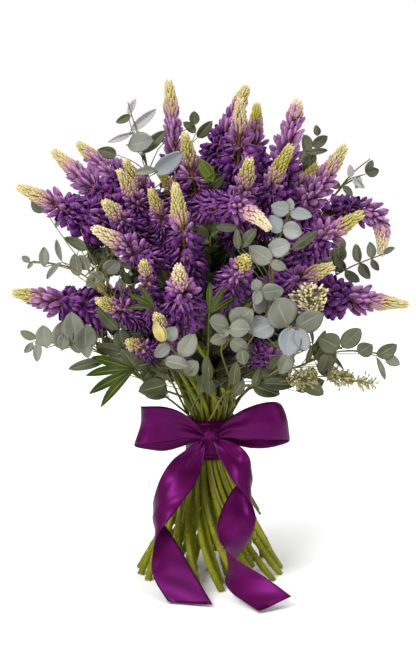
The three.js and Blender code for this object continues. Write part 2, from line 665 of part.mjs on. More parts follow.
// One leaf of a spray. hand is 1 on the left of the twig, -1 on its right and 0 at its end.
function sprayLeaf(node, axes, hand, size, draw) {
  const lean = mix(0.05, 0.4, draw());
  const roll = mix(-0.5, 0.5, draw());
  const tilt = mix(-0.4, 0.4, draw());
  const length = size * mix(0.88, 1.06, draw());
  const out = axes.across.clone().multiplyScalar(hand || 0.2 * roll);
  out.addScaledVector(axes.along, hand ? lean : 1).addScaledVector(axes.up, 0.5 * roll).normalize();
  const face = axes.up.clone().addScaledVector(axes.across, roll).addScaledVector(axes.along, tilt);
  const [width, cup] = [length * LEAF_WIDTH, length * LEAF_CUP];
  return leafRim({ base: node, along: out, face, length, width, cup });
}

// A spray in one skin: a four-sided twig whose left and right edges open out into a leaf at each node.
function spraySolid(spray, seed) {
  const draw = draws(seed);
  const route = twigRoute(spray.slot, spray.path);
  const nodes = leafNodes(spray, route);
  const bare = twigPoints(spray.slot, spray.path, [spray.from / 3, (spray.from * 2) / 3]);
  const points = [...bare, ...nodes.map(({ t }) => smoothAt(route, t))];
  const face = vec(spray.face);
  const skin = new Skin();
  let below = null;
  points.forEach((at, i) => {
    const radius = mix(TWIG_RADIUS, TWIG_TIP_RADIUS, i / (points.length - 1));
    const [behind, ahead] = [points[Math.max(i - 1, 0)], points[Math.min(i + 1, points.length - 1)]];
    const along = ahead.clone().sub(behind).normalize();
    const up = face.clone().addScaledVector(along, -face.dot(along)).normalize();
    if (nodes[i - bare.length]) up.applyAxisAngle(along, (i % 2 ? 1 : -1) * NODE_TURN);
    const axes = { along, up, across: up.clone().cross(along) };
    const spot = (onward, left, lift) => {
      const point = at.clone().addScaledVector(along, onward).addScaledVector(axes.across, left);
      return skin.add(point.addScaledVector(up, lift));
    };
    const [top, bottom] = [spot(0, 0, radius), spot(0, 0, -radius)];
    const node = nodes[i - bare.length];
    const last = i === points.length - 1;
    const half = node && !last ? radius : 0;
    const back = [top, spot(-half, -radius, 0), bottom, spot(-half, radius, 0)];
    if (below) skin.wall(below, back);
    else skin.faces.push(back[0], back[3], back[2], back[0], back[2], back[1]);
    below = back;
    if (!node) return;
    const leaf = (hand) => skin.ring(sprayLeaf(at, axes, hand, node.size, draw));
    if (last) {
      skin.blade(top, bottom, [back[1], ...leaf(0), back[3]]);
      return;
    }
    const front = [top, spot(half, -radius, 0), bottom, spot(half, radius, 0)];
    skin.blade(top, bottom, [back[1], ...leaf(-1), front[1]]);
    skin.blade(top, bottom, [front[3], ...leaf(1), back[3]]);
    below = front;
  });
  return skin.solid();
}

// A knobbly spindle of seeds: peaks and hollows alternate round it and along it.
function seedCluster(route, { at, length, radius }, seed) {
  const draw = draws(seed);
  const middle = smoothAt(route, at);
  const along = smoothAt(route, Math.min(1, at + 0.02)).sub(smoothAt(route, at - 0.02)).normalize();
  const stations = Array.from({ length: SEED_ROWS + 2 }, (_, k) =>
    middle.clone().addScaledVector(along, length * (k / (SEED_ROWS + 1) - 0.5)),
  );
  const axes = acrossAxes(stations);
  const skin = new Skin();
  const rings = [];
  for (let k = 1; k <= SEED_ROWS; k++) {
    const girth = radius * Math.sin((Math.PI * k) / (SEED_ROWS + 1));
    const points = [];
    for (let j = 0; j < SEED_SIDES; j++) {
      const share = (j + k) % 2 ? 0.62 : mix(0.95, 1.15, draw());
      points.push(ringPoint(stations[k], axes[k], (j / SEED_SIDES) * 2 * Math.PI, girth * share));
    }
    rings.push(skin.ring(points));
  }
  rings.slice(1).forEach((ring, i) => skin.wall(rings[i], ring, (j) => (i + j) % 2 === 0));
  skin.cap(rings.at(-1), skin.add(stations.at(-1)), true);
  skin.cap(rings[0], skin.add(stations[0]), false);
  return skin.solid();
}

function seededSolid() {
  const route = twigRoute(SEEDED.slot, SEEDED.path);
  const fork = smoothAt(route, SEEDED.branch.from);
  const branch = [fork, ...SEEDED.branch.path.map(vec)];
  const branchPoints = Array.from({ length: 6 }, (_, k) => smoothAt(branch, k / 5));
  const mainPoints = twigPoints(SEEDED.slot, SEEDED.path, [0.2, SEEDED.branch.from, 0.6, 0.8, 1]);
  return joined([
    tube(mainPoints, TWIG_RADIUS, TWIG_TIP_RADIUS),
    tube(branchPoints, TWIG_TIP_RADIUS + 0.2, TWIG_TIP_RADIUS),
    ...SEEDED.clusters.map((cluster, k) => seedCluster(route, cluster, SPRAY_SEED + 100 + k)),
    ...SEEDED.branchClusters.map((cluster, k) => seedCluster(branch, cluster, SPRAY_SEED + 200 + k)),
  ]);
}

// Leaflets spread like fingers round the end of their petiole, in one arched blade cut nearly to its middle:
// each is widest two thirds of the way out, and the last ones are shorter.
function palmate({ hub, from, face, reach, turn, spread, fingers }) {
  const up = vec(face).normalize();
  const centre = vec(hub);
  const onward = centre.clone().sub(vec(from));
  onward.addScaledVector(up, -onward.dot(up)).normalize();
  const side = onward.clone().cross(up).normalize();
  const at = (angle, radius, lift) =>
    centre
      .clone()
      .addScaledVector(onward, radius * Math.cos(angle))
      .addScaledVector(side, radius * Math.sin(angle))
      .addScaledVector(up, lift);
  const rim = [];
  for (let k = fingers - 1; k >= 0; k--) {
    const angle = turn + mix(-spread, spread, k / (fingers - 1));
    const length = reach * (0.78 + 0.22 * Math.cos(angle - turn));
    const half = spread / (fingers - 1);
    const [notch, widest, arch] = [length * 0.16, length * 0.62, length * 0.1];
    rim.push(at(angle + half, notch, 0));
    rim.push(at(angle + LEAFLET_HALF, widest, arch));
    rim.push(at(angle, length, arch * 0.6));
    rim.push(at(angle - LEAFLET_HALF, widest, arch));
    if (k === 0) rim.push(at(angle - half, notch, 0));
  }
  rim.push(at(turn + Math.PI, reach * HUB_SHARE, 0));
  return leavesSolid(centre, up, rim);
}

function lupinLeavesSolid(shoot) {
  const petioles = shoot.leaves.map(({ hub, from, bow }) => {
    const [a, b] = [vec(from), vec(hub)];
    const middle = a.clone().lerp(b, 0.5).add(vec(bow));
    return tube([0, 0.3, 0.6, 1].map((t) => smoothAt([a, middle, b], t)), TWIG_RADIUS, TWIG_RADIUS);
  });
  const stalkPoints = twigPoints(shoot.slot, shoot.path, [1 / 6, 1 / 3, 1 / 2, 2 / 3, 1]);
  const stalk = tube(stalkPoints, TWIG_RADIUS, TWIG_RADIUS);
  return joined([stalk, ...petioles, ...shoot.leaves.map(palmate)]);
}

// ---------------------------------------------------------------- ribbon
// A strip between two edges, given as pairs of points along it.
function stripSolid(stations) {
  const skin = new Skin();
  const pairs = stations.map(([a, b]) => [vec(a), vec(b)]);
  const rings = pairs.map(([a, b], i) => {
    const ahead = pairs[Math.min(i + 1, pairs.length - 1)];
    const behind = pairs[Math.max(i - 1, 0)];
    const along = ahead[0].clone().add(ahead[1]).sub(behind[0]).sub(behind[1]);
    const out = b.clone().sub(a).cross(along).normalize().multiplyScalar(RIBBON_THICK / 2);
    return skin.ring([a.clone().sub(out), b.clone().sub(out), b.clone().add(out), a.clone().add(out)]);
  });
  // Both broad faces are split along like diagonals, so that a turned stretch keeps its thickness.
  rings.slice(1).forEach((ring, i) => skin.wall(ring, rings[i], (j) => j === 2));
  const first = rings[0];
  const end = rings.at(-1);
  skin.faces.push(first[0], first[1], first[2], first[0], first[2], first[3]);
  skin.faces.push(end[2], end[1], end[0], end[3], end[2], end[0]);
  return skin.solid();
}

function knotSolid(grow = 0) {
  const shape = new THREE.CylinderGeometry(1, 1, KNOT.length + 2 * grow, KNOT.sides)
    .rotateZ(Math.PI / 2)
    .scale(1, KNOT.radius + grow, KNOT.height + grow)
    .translate(...KNOT.at);
  return solidOf(shape);
}

function bandSolid() {
  const [inside, outside, half] = [BAND_RADIUS, BAND_RADIUS + BAND_THICK, BAND_HEIGHT / 2];
  const section = [[inside, -half], [outside, -half], [outside, half], [inside, half], [inside, -half]];
  const shape = new THREE.LatheGeometry(section.map(([r, z]) => new THREE.Vector2(r, z)), ROUND_SIDES);
  return solidOf(shape.rotateX(Math.PI / 2).translate(0, 0, TIE_HEIGHT));
}

// ---------------------------------------------------------------- materials and the group
const material = (color, roughness = 0.6, metalness = 0) =>
  new THREE.MeshStandardMaterial({ color, roughness, metalness, flatShading: true });

const STEM_GREEN = material(0x8a9a3c);
const FLORET_PURPLE = material(0x4b1880);
const EUCALYPTUS_GREY = material(0x8b9a86);
const LUPIN_LEAF_GREEN = material(0x4c6b1e);
const SEED_CREAM = material(0xb8b07c);
const RIBBON_PURPLE = material(0x5c1370, 0.35);

const bouquet = new THREE.Group();
function place(name, solid, look) {
  const mesh = new THREE.Mesh(geometryOf(solid), look);
  mesh.name = name;
  bouquet.add(mesh);
}

function buildLupins() {
  const places = tiePlaces();
  const stems = SPIKES.map((spike, order) => {
    return stemSolid(stemLine(spike, places.get(spike.name), order), vec(spike.tip));
  });
  const plug = solidOf(
    new THREE.CylinderGeometry(PLUG_RADIUS, PLUG_RADIUS, 2 * PLUG_HALF_HEIGHT, ROUND_SIDES)
      .rotateX(Math.PI / 2)
      .translate(0, 0, TIE_HEIGHT),
  );
  place("lupin_stems", joined([plug, ...stems]), STEM_GREEN);
  SPIKES.forEach((spike) => {
    place("lupin_florets_" + spike.name, floretSolid(spike, racemeAxes(spike)), FLORET_PURPLE);
  });
}

function buildFoliage() {
  EUCALYPTUS.forEach((spray, k) => {
    place("eucalyptus_" + spray.name, spraySolid(spray, SPRAY_SEED + k), EUCALYPTUS_GREY);
  });
  place("seeded_eucalyptus", seededSolid(), SEED_CREAM);
  LUPIN_LEAVES.forEach((shoot) => {
    place("lupin_leaves_" + shoot.name, lupinLeavesSolid(shoot), LUPIN_LEAF_GREEN);
  });
}

function buildRibbon() {
  const clear = knotSolid(GAP);
  place("ribbon_band", bandSolid(), RIBBON_PURPLE);
  place("ribbon_bow", joined([knotSolid(), stripSolid(LOOP_LEFT), stripSolid(LOOP_RIGHT)]), RIBBON_PURPLE);
  place("ribbon_tail_left", stripSolid(TAIL_LEFT).subtract(clear), RIBBON_PURPLE);
  place("ribbon_tail_right", stripSolid(TAIL_RIGHT).subtract(clear), RIBBON_PURPLE);
}

buildLupins();
buildFoliage();
buildRibbon();

export default bouquet;
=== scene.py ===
# A hand-tied bouquet of purple lupin spikes with eucalyptus, lupin leaves and a satin bow.
# Tables are in millimetres, in the row frame; meshes are scaled to metres as they are made.
import math
from collections import namedtuple

import bpy
import numpy as np
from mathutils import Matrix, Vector


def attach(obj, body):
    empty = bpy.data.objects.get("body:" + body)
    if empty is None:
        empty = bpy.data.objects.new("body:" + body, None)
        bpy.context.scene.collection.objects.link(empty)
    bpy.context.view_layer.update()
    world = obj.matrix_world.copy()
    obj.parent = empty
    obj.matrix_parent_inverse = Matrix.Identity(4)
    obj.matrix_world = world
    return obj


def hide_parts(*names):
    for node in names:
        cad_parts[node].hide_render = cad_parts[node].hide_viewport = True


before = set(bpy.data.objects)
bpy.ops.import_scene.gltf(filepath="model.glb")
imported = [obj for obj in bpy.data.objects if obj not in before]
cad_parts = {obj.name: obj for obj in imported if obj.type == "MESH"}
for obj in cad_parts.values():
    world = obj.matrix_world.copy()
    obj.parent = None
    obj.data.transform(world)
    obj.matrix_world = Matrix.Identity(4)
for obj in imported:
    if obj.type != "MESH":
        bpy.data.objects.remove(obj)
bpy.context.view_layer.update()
MM = 0.001

# ---------------------------------------------------------------- driving dimensions, as in the solids
# The tie, and how the stems and twigs fan out below and above it.
TIE_HEIGHT = 154
BAND_HEIGHT = 48
WAIST_LOW = TIE_HEIGHT - BAND_HEIGHT / 2
WAIST_HIGH = TIE_HEIGHT + BAND_HEIGHT / 2
BAND_RADIUS = 26.4
FOOT_SPREAD = 4.1
FOOT_CURVE = 1.2
FOOT_TWIST = 0.85
HEAD_TWIST = 0.3
HEAD_FLARE = 0.65
SHORTEST_FOOT = 42
# Stems: how many stand in each ring of the tie, the rings' radii, and the stems' own radii.
STEM_RINGS = [1, 6, 12, 21]
STEM_RING_RADII = [0, 6.4, 12.8, 19.4]
STEM_RADIUS = 2.6
FOOT_RADIUS = 3.9
NECK_RADIUS = 2.1
RACHIS_RADIUS = 1.7
STEM_RISE = 0.7
STEM_ARRIVAL = 0.75
BUD_CONE_RADIUS = 7.6
SLIM_REACH = 13
# Twigs stand in slots round the stems. Leaves stand on them in pairs, smaller towards the tip.
TWIG_RING_RADIUS = 24.3
TWIG_SLOTS = 18
TWIG_RADIUS = 1.4
TWIG_FOOT = 66
NODE_STEP = 1.08
NODE_TURN = 0.45
LEAF_TAPER = 0.5
LEAF_WIDTH = 0.86
SPRAY_SEED = 41
RIBBON_WIDTH = 40
RIBBON_THICK = 0.5

# The camera: metres, and pixels of the photograph, which is 416 wide and 661 high.
EYE_DISTANCE = 1.6
EYE_ELEVATION = math.radians(8)
LOOK_AT = Vector((-0.0022, 0, 0.272))
FOCAL_PIXELS, LONG_SIDE, WIDE_SIDE, SENSOR = 1454.5, 661, 416, 36

# Lupin spikes: name, tip, base, florets' reach, length of the bud cone, bend, and how cream the buds are.
SPIKES = [
    ("far_left", (-204, -45, 432), (-98, -14, 380), 22, 32, None, 0.5),
    ("low_left", (-209, -60, 321), (-93, -27, 294), 22, 26, None, 0.25),
    ("left_high", (-176, 50, 468), (-89, 14, 392), 19, 30, None, 0.5),
    ("left_back", (-153, 105, 475), (-68, 52, 408), 20, 28, None, 0.3),
    ("left_pair_a", (-90, -45, 459), (-42, 8, 378), 15, 28, None, 0.3),
    ("left_pair_b", (-94, -85, 451), (-61, -31, 383), 14, 32, None, 0.5),
    ("top_left", (-46, 60, 546), (-35, 28, 422), 17, 36, None, 0.4),
    ("upper_mid", (-27, -55, 488), (-8, -7, 382), 18, 32, None, 0.2),
    ("green_bud", (-56, -95, 455), (-14, -40, 390), 10, 32, None, 0.0),
    ("tall_front", (-35, -140, 439), (-20, -88, 330), 19, 38, None, 0.3),
    ("small_left", (-60, -125, 433), (-38, -58, 362), 12, 28, None, 0.1),
    ("left_inner", (-107, -120, 420), (-66, -48, 369), 15, 24, None, 0.5),
    ("cream_left", (-117, -140, 395), (-50, -86, 350), 16, 30, None, 0.9),
    ("top_centre", (32, -25, 525), (29, 7, 408), 22, 32, None, 0.6),
    ("top_behind", (41, 45, 539), (-6, 40, 432), 18, 24, None, 0.5),
    ("top_green", (54, 100, 521), (46, 65, 408), 18, 30, None, 0.0),
    ("top_right", (96, 15, 523), (70, 10, 408), 20, 16, None, 1.0),
    ("bent_bud", (84, -84, 476), (51, -30, 380), 17, 44, (60, -60, 438), 0.1),
    ("centre_high", (40, -110, 463), (24, -50, 370), 17, 28, None, 0.3),
    ("long_right", (142, -55, 475), (76, -6, 368), 20, 30, None, 0.5),
    ("right_behind", (122, 70, 452), (56, 44, 372), 16, 26, None, 0.1),
    ("hook_right", (186, -2, 354), (98, 30, 386), 17, 30, (204, 14, 432), 0.9),
    ("right_mid", (156, -100, 407), (68, -48, 344), 20, 30, None, 0.15),
    ("right_inner", (124, -128, 356), (44, -72, 314), 18, 28, None, 0.4),
    ("far_right", (210, -60, 308), (86, -30, 316), 22, 34, None, 0.45),
    ("droop", (58, -170, 395), (-14, -98, 406), 16, 30, (24, -148, 432), 1.0),
    ("end_on", (35, -180, 369), (14, -84, 316), 18, 20, None, 0.0),
    ("burst", (-31, -180, 361), (-26, -106, 296), 21, 28, None, 0.8),
    ("small_up", (-66, -155, 363), (-58, -88, 298), 12, 16, None, 0.1),
    ("low_inner", (-114, -130, 321), (-54, -46, 286), 15, 24, None, 0.2),
    ("low_front", (-54, -156, 310), (-30, -76, 253), 12, 18, None, 0.6),
    ("low_bud", (-84, -125, 278), (-46, -50, 250), 12, 18, None, 0.1),
    ("low_right", (82, -105, 250), (26, -46, 258), 16, 18, None, 0.5),
    ("back_left", (-135, 150, 415), (-64, 78, 346), 20, 30, None, 0.3),
    ("back_mid_left", (-22, 190, 432), (-9, 101, 343), 20, 30, None, 0.5),
    ("back_mid_right", (52, 195, 415), (27, 104, 332), 20, 30, None, 0.1),
    ("back_right", (140, 140, 395), (70, 72, 326), 20, 30, None, 0.6),
    ("back_low_left", (-140, 140, 305), (-54, 68, 280), 20, 28, None, 0.2),
    ("back_low_right", (140, 135, 290), (54, 64, 268), 20, 28, None, 0.7),
    ("back_low", (2, 208, 318), (0, 94, 272), 20, 30, None, 0.3),
]
# From which share of its flowers up a spike's florets are still young, where not YOUNG.
YOUNG = 0.68
YOUNG_FROM = {
    "top_left": 0.3, "cream_left": 0.5, "top_right": 0.35, "long_right": 0.45, "left_pair_b": 0.55,
    "hook_right": 0.45, "far_right": 0.55, "low_left": 0.6, "left_high": 0.5, "left_back": 0.5,
    "top_behind": 0.55,
}
# Spikes whose rachis shows from the front, where their upper florets stand to the sides.
BARE_FRONT = {"tall_front", "upper_mid", "top_centre"}

# Eucalyptus sprays: name, place round the tie, face, where leaves begin, longest leaf, how olive, and path.
EUCALYPTUS = [
    ("right_front_high", 1, (0.1, -1, 0.2), 0.42, 30, 0.0,
     [(30, -75, 251), (59, -132, 313), (60, -152, 368), (88, -148, 420)]),
    ("right_front_low", 2, (0.1, -1, 0.3), 0.38, 35, 0.25,
     [(20, -70, 228), (12, -118, 273), (42, -146, 292), (90, -144, 298)]),
    ("left_front_low", 17, (-0.2, -1, 0.3), 0.32, 28, 0.35,
     [(-11, -70, 224), (-21, -118, 252), (-34, -146, 270), (-58, -156, 290)]),
    ("left_low", 15, (-0.1, -1, 0.5), 0.24, 30, 0.4,
     [(-49, -9, 200), (-100, -58, 246), (-136, -80, 268), (-196, -85, 271)]),
    ("left_mid", 14, (-0.1, -1, 0.1), 0.54, 24, 0.6,
     [(-54, -28, 242), (-99, -70, 310), (-146, -56, 346), (-196, -45, 352)]),
    ("left_high", 13, (-0.3, -1, 0.1), 0.7, 24, 0.45,
     [(-47, 22, 252), (-56, 24, 345), (-62, 22, 405), (-70, 5, 455), (-88, -8, 520)]),
    ("top_right", 6, (0.2, -1, 0.3), 0.55, 23, 0.7,
     [(34, 40, 267), (85, 70, 378), (111, 85, 445), (132, 95, 486)]),
    ("right_high", 5, (0.2, -1, 0.2), 0.7, 22, 0.3,
     [(44, 22, 260), (88, 62, 345), (132, 66, 405), (156, 44, 440), (178, 30, 460)]),
    ("right_mid", 4, (0.2, -1, 0.1), 0.45, 26, 0.75,
     [(39, 0, 250), (99, 0, 306), (146, -20, 341), (191, -30, 361)]),
    ("right_low", 3, (0.2, -1, 0.4), 0.24, 30, 0.7,
     [(46, -24, 216), (96, -66, 244), (140, -82, 262), (194, -80, 256)]),
    ("back_right", 8, (0.4, 1, 0.4), 0.25, 32, 0.3,
     [(24, 62, 240), (62, 120, 275), (104, 168, 292), (130, 196, 330)]),
    ("back_left", 10, (-0.4, 1, 0.4), 0.25, 32, 0.6,
     [(-20, 60, 236), (-46, 124, 256), (-84, 176, 276), (-116, 204, 330)]),
]
# How much longer and wider than drawn the paired leaves are, and the sprays whose leaves are narrower.
LEAF_FULLNESS_ALONG, LEAF_FULLNESS_ACROSS = 1.1, 1.15
NARROW_LEAVES = {"left_high": 0.5, "left_mid": 0.6, "right_mid": 0.75, "top_right": 0.9, "right_high": 0.85}

# Leaves set one by one where the photograph shows them, spray by spray, in groups of one depth (y).
# A third value in a group is how many points further down the line its twigs leave it, where not STEP_BACK.
# Each leaf: pixel of its foot, pixel of its tip, its width over its length, and how olive it is:
# -0.8 is pale, -0.2 blue-grey, 0 silver, 1 olive, 1.6 dark green that paints the shade deep in the bouquet, 2
# fresh green and 2.6 a dry yellow bract.
SET_LEAVES = {
    "right_front_high": [
        (-158, [(290, 211, 272, 205, 0.79, 0), (289, 214, 311, 215, 0.56, -0.1),
                (290, 211, 290, 199, 0.7, 0.1), (282, 228, 301, 232, 0.8, 0),
                (281, 233, 270, 217, 0.75, -0.2), (268, 251, 289, 245, 0.8, -0.15),
                (272, 262, 250, 246, 0.62, 0), (270, 262, 285, 268, 0.6, 0.3)]),
        (-140, [(290, 250, 316, 231, 0.3, 0.95), (239, 228, 217, 225, 0.35, 0.8),
                (238, 250, 237, 230, 0.35, 0.8), (241, 248, 256, 230, 0.45, 0.8)]),
    ],
    "right_front_low": [
        (-158, [(260, 293, 282, 290, 0.8, 0.35), (260, 289, 254, 303, 0.7, 0),
                (259, 291, 254, 280, 0.9, 0.2), (259, 297, 261, 313, 1, 0.2),
                (229, 327, 209, 322, 0.9, 0.3), (232, 326, 251, 308, 0.8, 0.3),
                (230, 339, 246, 349, 0.75, 0.4), (228, 336, 211, 341, 0.7, 0.5),
                (288, 327, 275, 299, 0.95, 0.25), (274, 323, 251, 333, 0.95, -0.2),
                (296, 328, 320, 312, 0.75, 0.3), (292, 352, 281, 372, 0.6, 0.6),
                (242, 349, 244, 363, 0.85, 0.7)]),
        (-166, [(228, 328, 249, 330, 0.9, 0.15), (230, 330, 220, 336, 0.6, 0),
                (291, 326, 285, 353, 0.78, -0.2), (298, 328, 305, 349, 0.6, -0.1)]),
        (-100, [(210, 381, 207, 356, 0.4, 1), (210, 396, 209, 379, 0.6, 1.3),
                (233, 388, 236, 362, 0.4, 1.1), (234, 396, 243, 381, 0.55, 1.2),
                (254, 388, 260, 368, 0.4, 1.2), (261, 383, 292, 383, 0.4, 1.2),
                (300, 376, 322, 394, 0.5, 1), (270, 372, 282, 356, 0.6, 1.2),
                (252, 385, 277, 394, 0.6, 1.4)]),
    ],
    "left_front_low": [
        (-160, [(166, 341, 175, 326, 0.75, 0.1), (169, 344, 156, 355, 0.75, 0.1),
                (164, 360, 187, 366, 0.55, 0.3), (180, 357, 194, 336, 0.65, 0.25),
                (185, 375, 197, 362, 0.8, 0.5)]),
        (-169, [(163, 342, 156, 321, 0.42, 2.7), (164, 342, 163, 327, 0.4, 2.7)]),
        (-100, [(200, 394, 203, 376, 0.5, 0.9), (167, 384, 141, 392, 0.62, 1.4)]),
    ],
    "left_low": [
        (-88, [(37, 338, 21, 332, 0.5, 0.95), (46, 348, 44, 326, 0.7, 0.4), (62, 350, 62, 323, 0.72, 0.45),
               (78, 345, 72, 314, 0.62, 0.4), (85, 350, 86, 322, 0.7, 0.45), (33, 342, 25, 353, 0.5, 0.5),
               (39, 341, 37, 360, 0.4, 0.3), (82, 334, 87, 356, 0.5, 0.5), (70, 335, 78, 352, 0.55, 0.6),
               (66, 333, 61, 348, 0.7, 0.3)]),
        (-70, [(119, 330, 97, 309, 0.42, 1.05), (121, 330, 135, 310, 0.55, 0.7),
               (119, 330, 124, 347, 0.95, 0.7), (141, 356, 112, 358, 0.42, 0.6),
               (107, 360, 71, 368, 0.25, 0.95), (144, 380, 165, 396, 0.75, 1.1),
               (140, 331, 145, 316, 0.5, 0.9), (128, 352, 100, 345, 0.4, 1.2),
               (140, 372, 124, 350, 0.5, 1.2)]),
    ],
    "left_mid": [
        (-62, [(44, 267, 44, 249, 0.5, 0.3), (62, 262, 59, 240, 0.24, 0.2), (62, 262, 47, 277, 0.25, 0.4),
               (30, 262, 22, 257, 0.6, 0.5), (33, 261, 28, 268, 0.4, 0.4), (79, 277, 75, 255, 0.55, 0.6),
               (87, 250, 65, 240, 0.45, 1), (89, 270, 80, 256, 0.7, 0.5), (105, 273, 88, 285, 0.65, 0.35),
               (105, 273, 119, 260, 0.8, 0.45), (119, 257, 115, 240, 0.55, 0.95)]),
        (-16, [(46, 212, 34, 198, 0.8, 0.6), (62, 214, 56, 227, 0.35, -0.8)], 12),
    ],
    "left_high": [
        (0, [(130, 132, 154, 111, 0.27, -0.8), (134, 132, 110, 140, 0.2, -0.6),
             (128, 116, 137, 101, 0.35, -0.8), (131, 115, 117, 122, 0.45, 0.9),
             (127, 145, 154, 142, 0.62, 0.1), (142, 154, 164, 134, 0.35, 0.95),
             (117, 155, 100, 150, 0.6, 0.95)]),
        (60, [(196, 133, 184, 123, 0.55, 1), (197, 138, 211, 123, 0.45, 1), (195, 125, 194, 112, 0.7, 1)]),
        (-100, [(157, 170, 136, 172, 0.32, 0.3), (154, 174, 180, 151, 0.5, -0.35)]),
        (-66, [(214, 182, 202, 160, 0.5, 2), (204, 178, 214, 168, 0.5, 2)]),
    ],
    "right_high": [
        (40, [(350, 178, 350, 166, 0.5, -0.8), (352, 178, 364, 187, 0.4, -0.8),
              (366, 174, 378, 170, 0.7, 0.9), (366, 174, 372, 161, 0.5, 0.6),
              (340, 188, 330, 180, 0.6, 0.8), (342, 186, 352, 196, 0.5, 0.8), (334, 196, 344, 204, 0.5, 1),
              (360, 176, 356, 188, 0.5, -0.7)]),
    ],
    "top_right": [
        (88, [(309, 152, 301, 136, 0.7, 0.7), (312, 147, 326, 137, 0.55, 0.85),
              (306, 153, 326, 151, 0.3, 0.7), (303, 167, 314, 153, 0.75, 0.75),
              (296, 184, 309, 167, 0.75, 1.1), (306, 150, 300, 160, 0.6, 0.9),
              (318, 136, 316, 126, 0.6, 0.7), (300, 190, 316, 178, 0.6, 1.2)]),
    ],
    "right_low": [
        (-85, [(340, 348, 320, 338, 0.9, 0.85), (341, 348, 360, 331, 0.6, 0.8),
               (358, 354, 371, 344, 0.85, 0.8), (376, 356, 395, 346, 0.6, 0.9),
               (376, 356, 382, 378, 0.22, 0.4), (385, 355, 398, 364, 0.6, 0.5),
               (337, 371, 354, 381, 0.5, 0.8), (330, 352, 322, 372, 0.6, 0.9)]),
    ],
}

# Leaves behind those, filling a box of pixels: spray, box, depth, how many and how olive.
BACKING_LEAVES = {
    "left_low": ((98, 312, 160, 374), -36, 34, 1.15),
    "left_mid": ((90, 240, 136, 290), -20, 30, 1.1),
    "right_low": ((298, 338, 334, 388), -50, 12, 1.0),
    "right_mid": ((322, 242, 352, 300), -10, 9, 0.9),
    "right_front_low": ((232, 350, 300, 380), -78, 10, 1.25),
    "left_front_low": ((146, 348, 176, 378), -78, 7, 1.2),
}

# Seeded eucalyptus: its twig and branch, and at, length and radius of each cluster of seeds on them.
SEEDED_SLOT = 0
SEEDED_PATH = [(20, -60, 216), (60, -98, 230), (112, -112, 240), (160, -100, 232)]
SEEDED_FORK = 0.42
SEEDED_BRANCH = [(86, -126, 264), (100, -140, 305), (98, -146, 334)]
SEED_CLUSTERS = [(0.66, 30, 17), (0.86, 26, 14), (1, 22, 10)]
BRANCH_CLUSTERS = [(0.86, 30, 24)]

# Lupin leaves: slot and path of each shoot, then for each leaf its
# hub, from, bow, face, reach, turn, spread and number of fingers.
LUPIN_LEAVES = [
    ("left", 16, [(-26, -50, 205), (-62, -84, 226), (-78, -104, 246)], [
        ((-78, -104, 246), (-62, -84, 226), (0, 0, 0), (-0.3, -0.8, 0.5), 54, -0.95, 0.6, 4),
        ((-1, -160, 312), (-20, -33, 191), (6, -14, -14), (0.1, -1, 0.3), 32, 0.47, 0.5, 3),
        ((-55, -150, 316), (-62, -84, 226), (14, 44, 0), (-0.2, -1, 0.3), 30, -1.42, 0.5, 3),
    ]),
    ("right", 7, [(36, 40, 214), (76, 70, 230), (120, 96, 240)], [
        ((120, 96, 240), (76, 70, 230), (0, 0, -3), (0.6, 0.7, 0.5), 46, 0, 2.2, 7),
        ((10, 150, 246), (36, 40, 214), (0, 0, -6), (0, 1, 0.5), 42, 0, 2.2, 7),
    ]),
]

# Foliage inside the bouquet: shoots, leaves on each, and
# the height, reach and leaf length of the lowest shoot and the highest.
INNER_SPRIGS, INNER_LEAVES = 52, 7
INNER_HEIGHTS, INNER_REACHES, INNER_LENGTHS = (222, 438), (84, 22), (34, 27)

# The two edges of each stretch of ribbon, station by station. Round a loop the first is the upper edge.
LOOP_LEFT = [
    [(-8, -43, 168), (-8, -43, 160)], [(-19, -49, 182), (-22, -48, 161)],
    [(-33, -57, 193), (-36, -57, 161)], [(-48, -63, 199), (-53, -65, 160)],
    [(-62, -65, 200), (-68, -67, 159)], [(-70, -61, 199), (-79, -62, 158)],
    [(-74, -53, 197), (-82, -53, 155)], [(-71, -46, 193), (-79, -46, 151)],
    [(-62, -42, 189), (-65, -41, 147)], [(-45, -39, 184), (-51, -38, 145)],
    [(-27, -37, 176), (-35, -37, 148)], [(-8, -36, 167), (-8, -36, 158)],
]
LOOP_RIGHT = [
    [(8, -43, 168), (8, -43, 160)], [(19, -49, 182), (20, -48, 162)],
    [(32, -57, 193), (35, -57, 161)], [(45, -63, 200), (51, -65, 163)],
    [(58, -65, 204), (66, -67, 164)], [(70, -61, 204), (79, -62, 163)],
    [(76, -53, 200), (85, -53, 160)], [(74, -46, 196), (81, -46, 155)],
    [(63, -42, 191), (67, -41, 150)], [(47, -39, 186), (52, -38, 148)],
    [(28, -37, 177), (35, -37, 150)], [(8, -36, 167), (8, -36, 158)],
]
TAIL_LEFT = [
    [(-11, -41, 159), (-5, -41, 155)], [(-23, -48, 151), (-6, -44, 143)],
    [(-40, -58, 140), (-9, -54, 130)], [(-52, -66, 124), (-16, -70, 116)],
    [(-60, -62, 102), (-28, -82, 102)], [(-62, -54, 84), (-40, -86, 88)],
    [(-57, -54, 72), (-52, -92, 73)], [(-47, -62, 66), (-60, -94, 54)],
    [(-34, -76, 50), (-62, -98, 36)], [(-21, -94, 33), (-58, -104, 20)],
    [(3, -132, 3), (-44, -120, 3)],
]
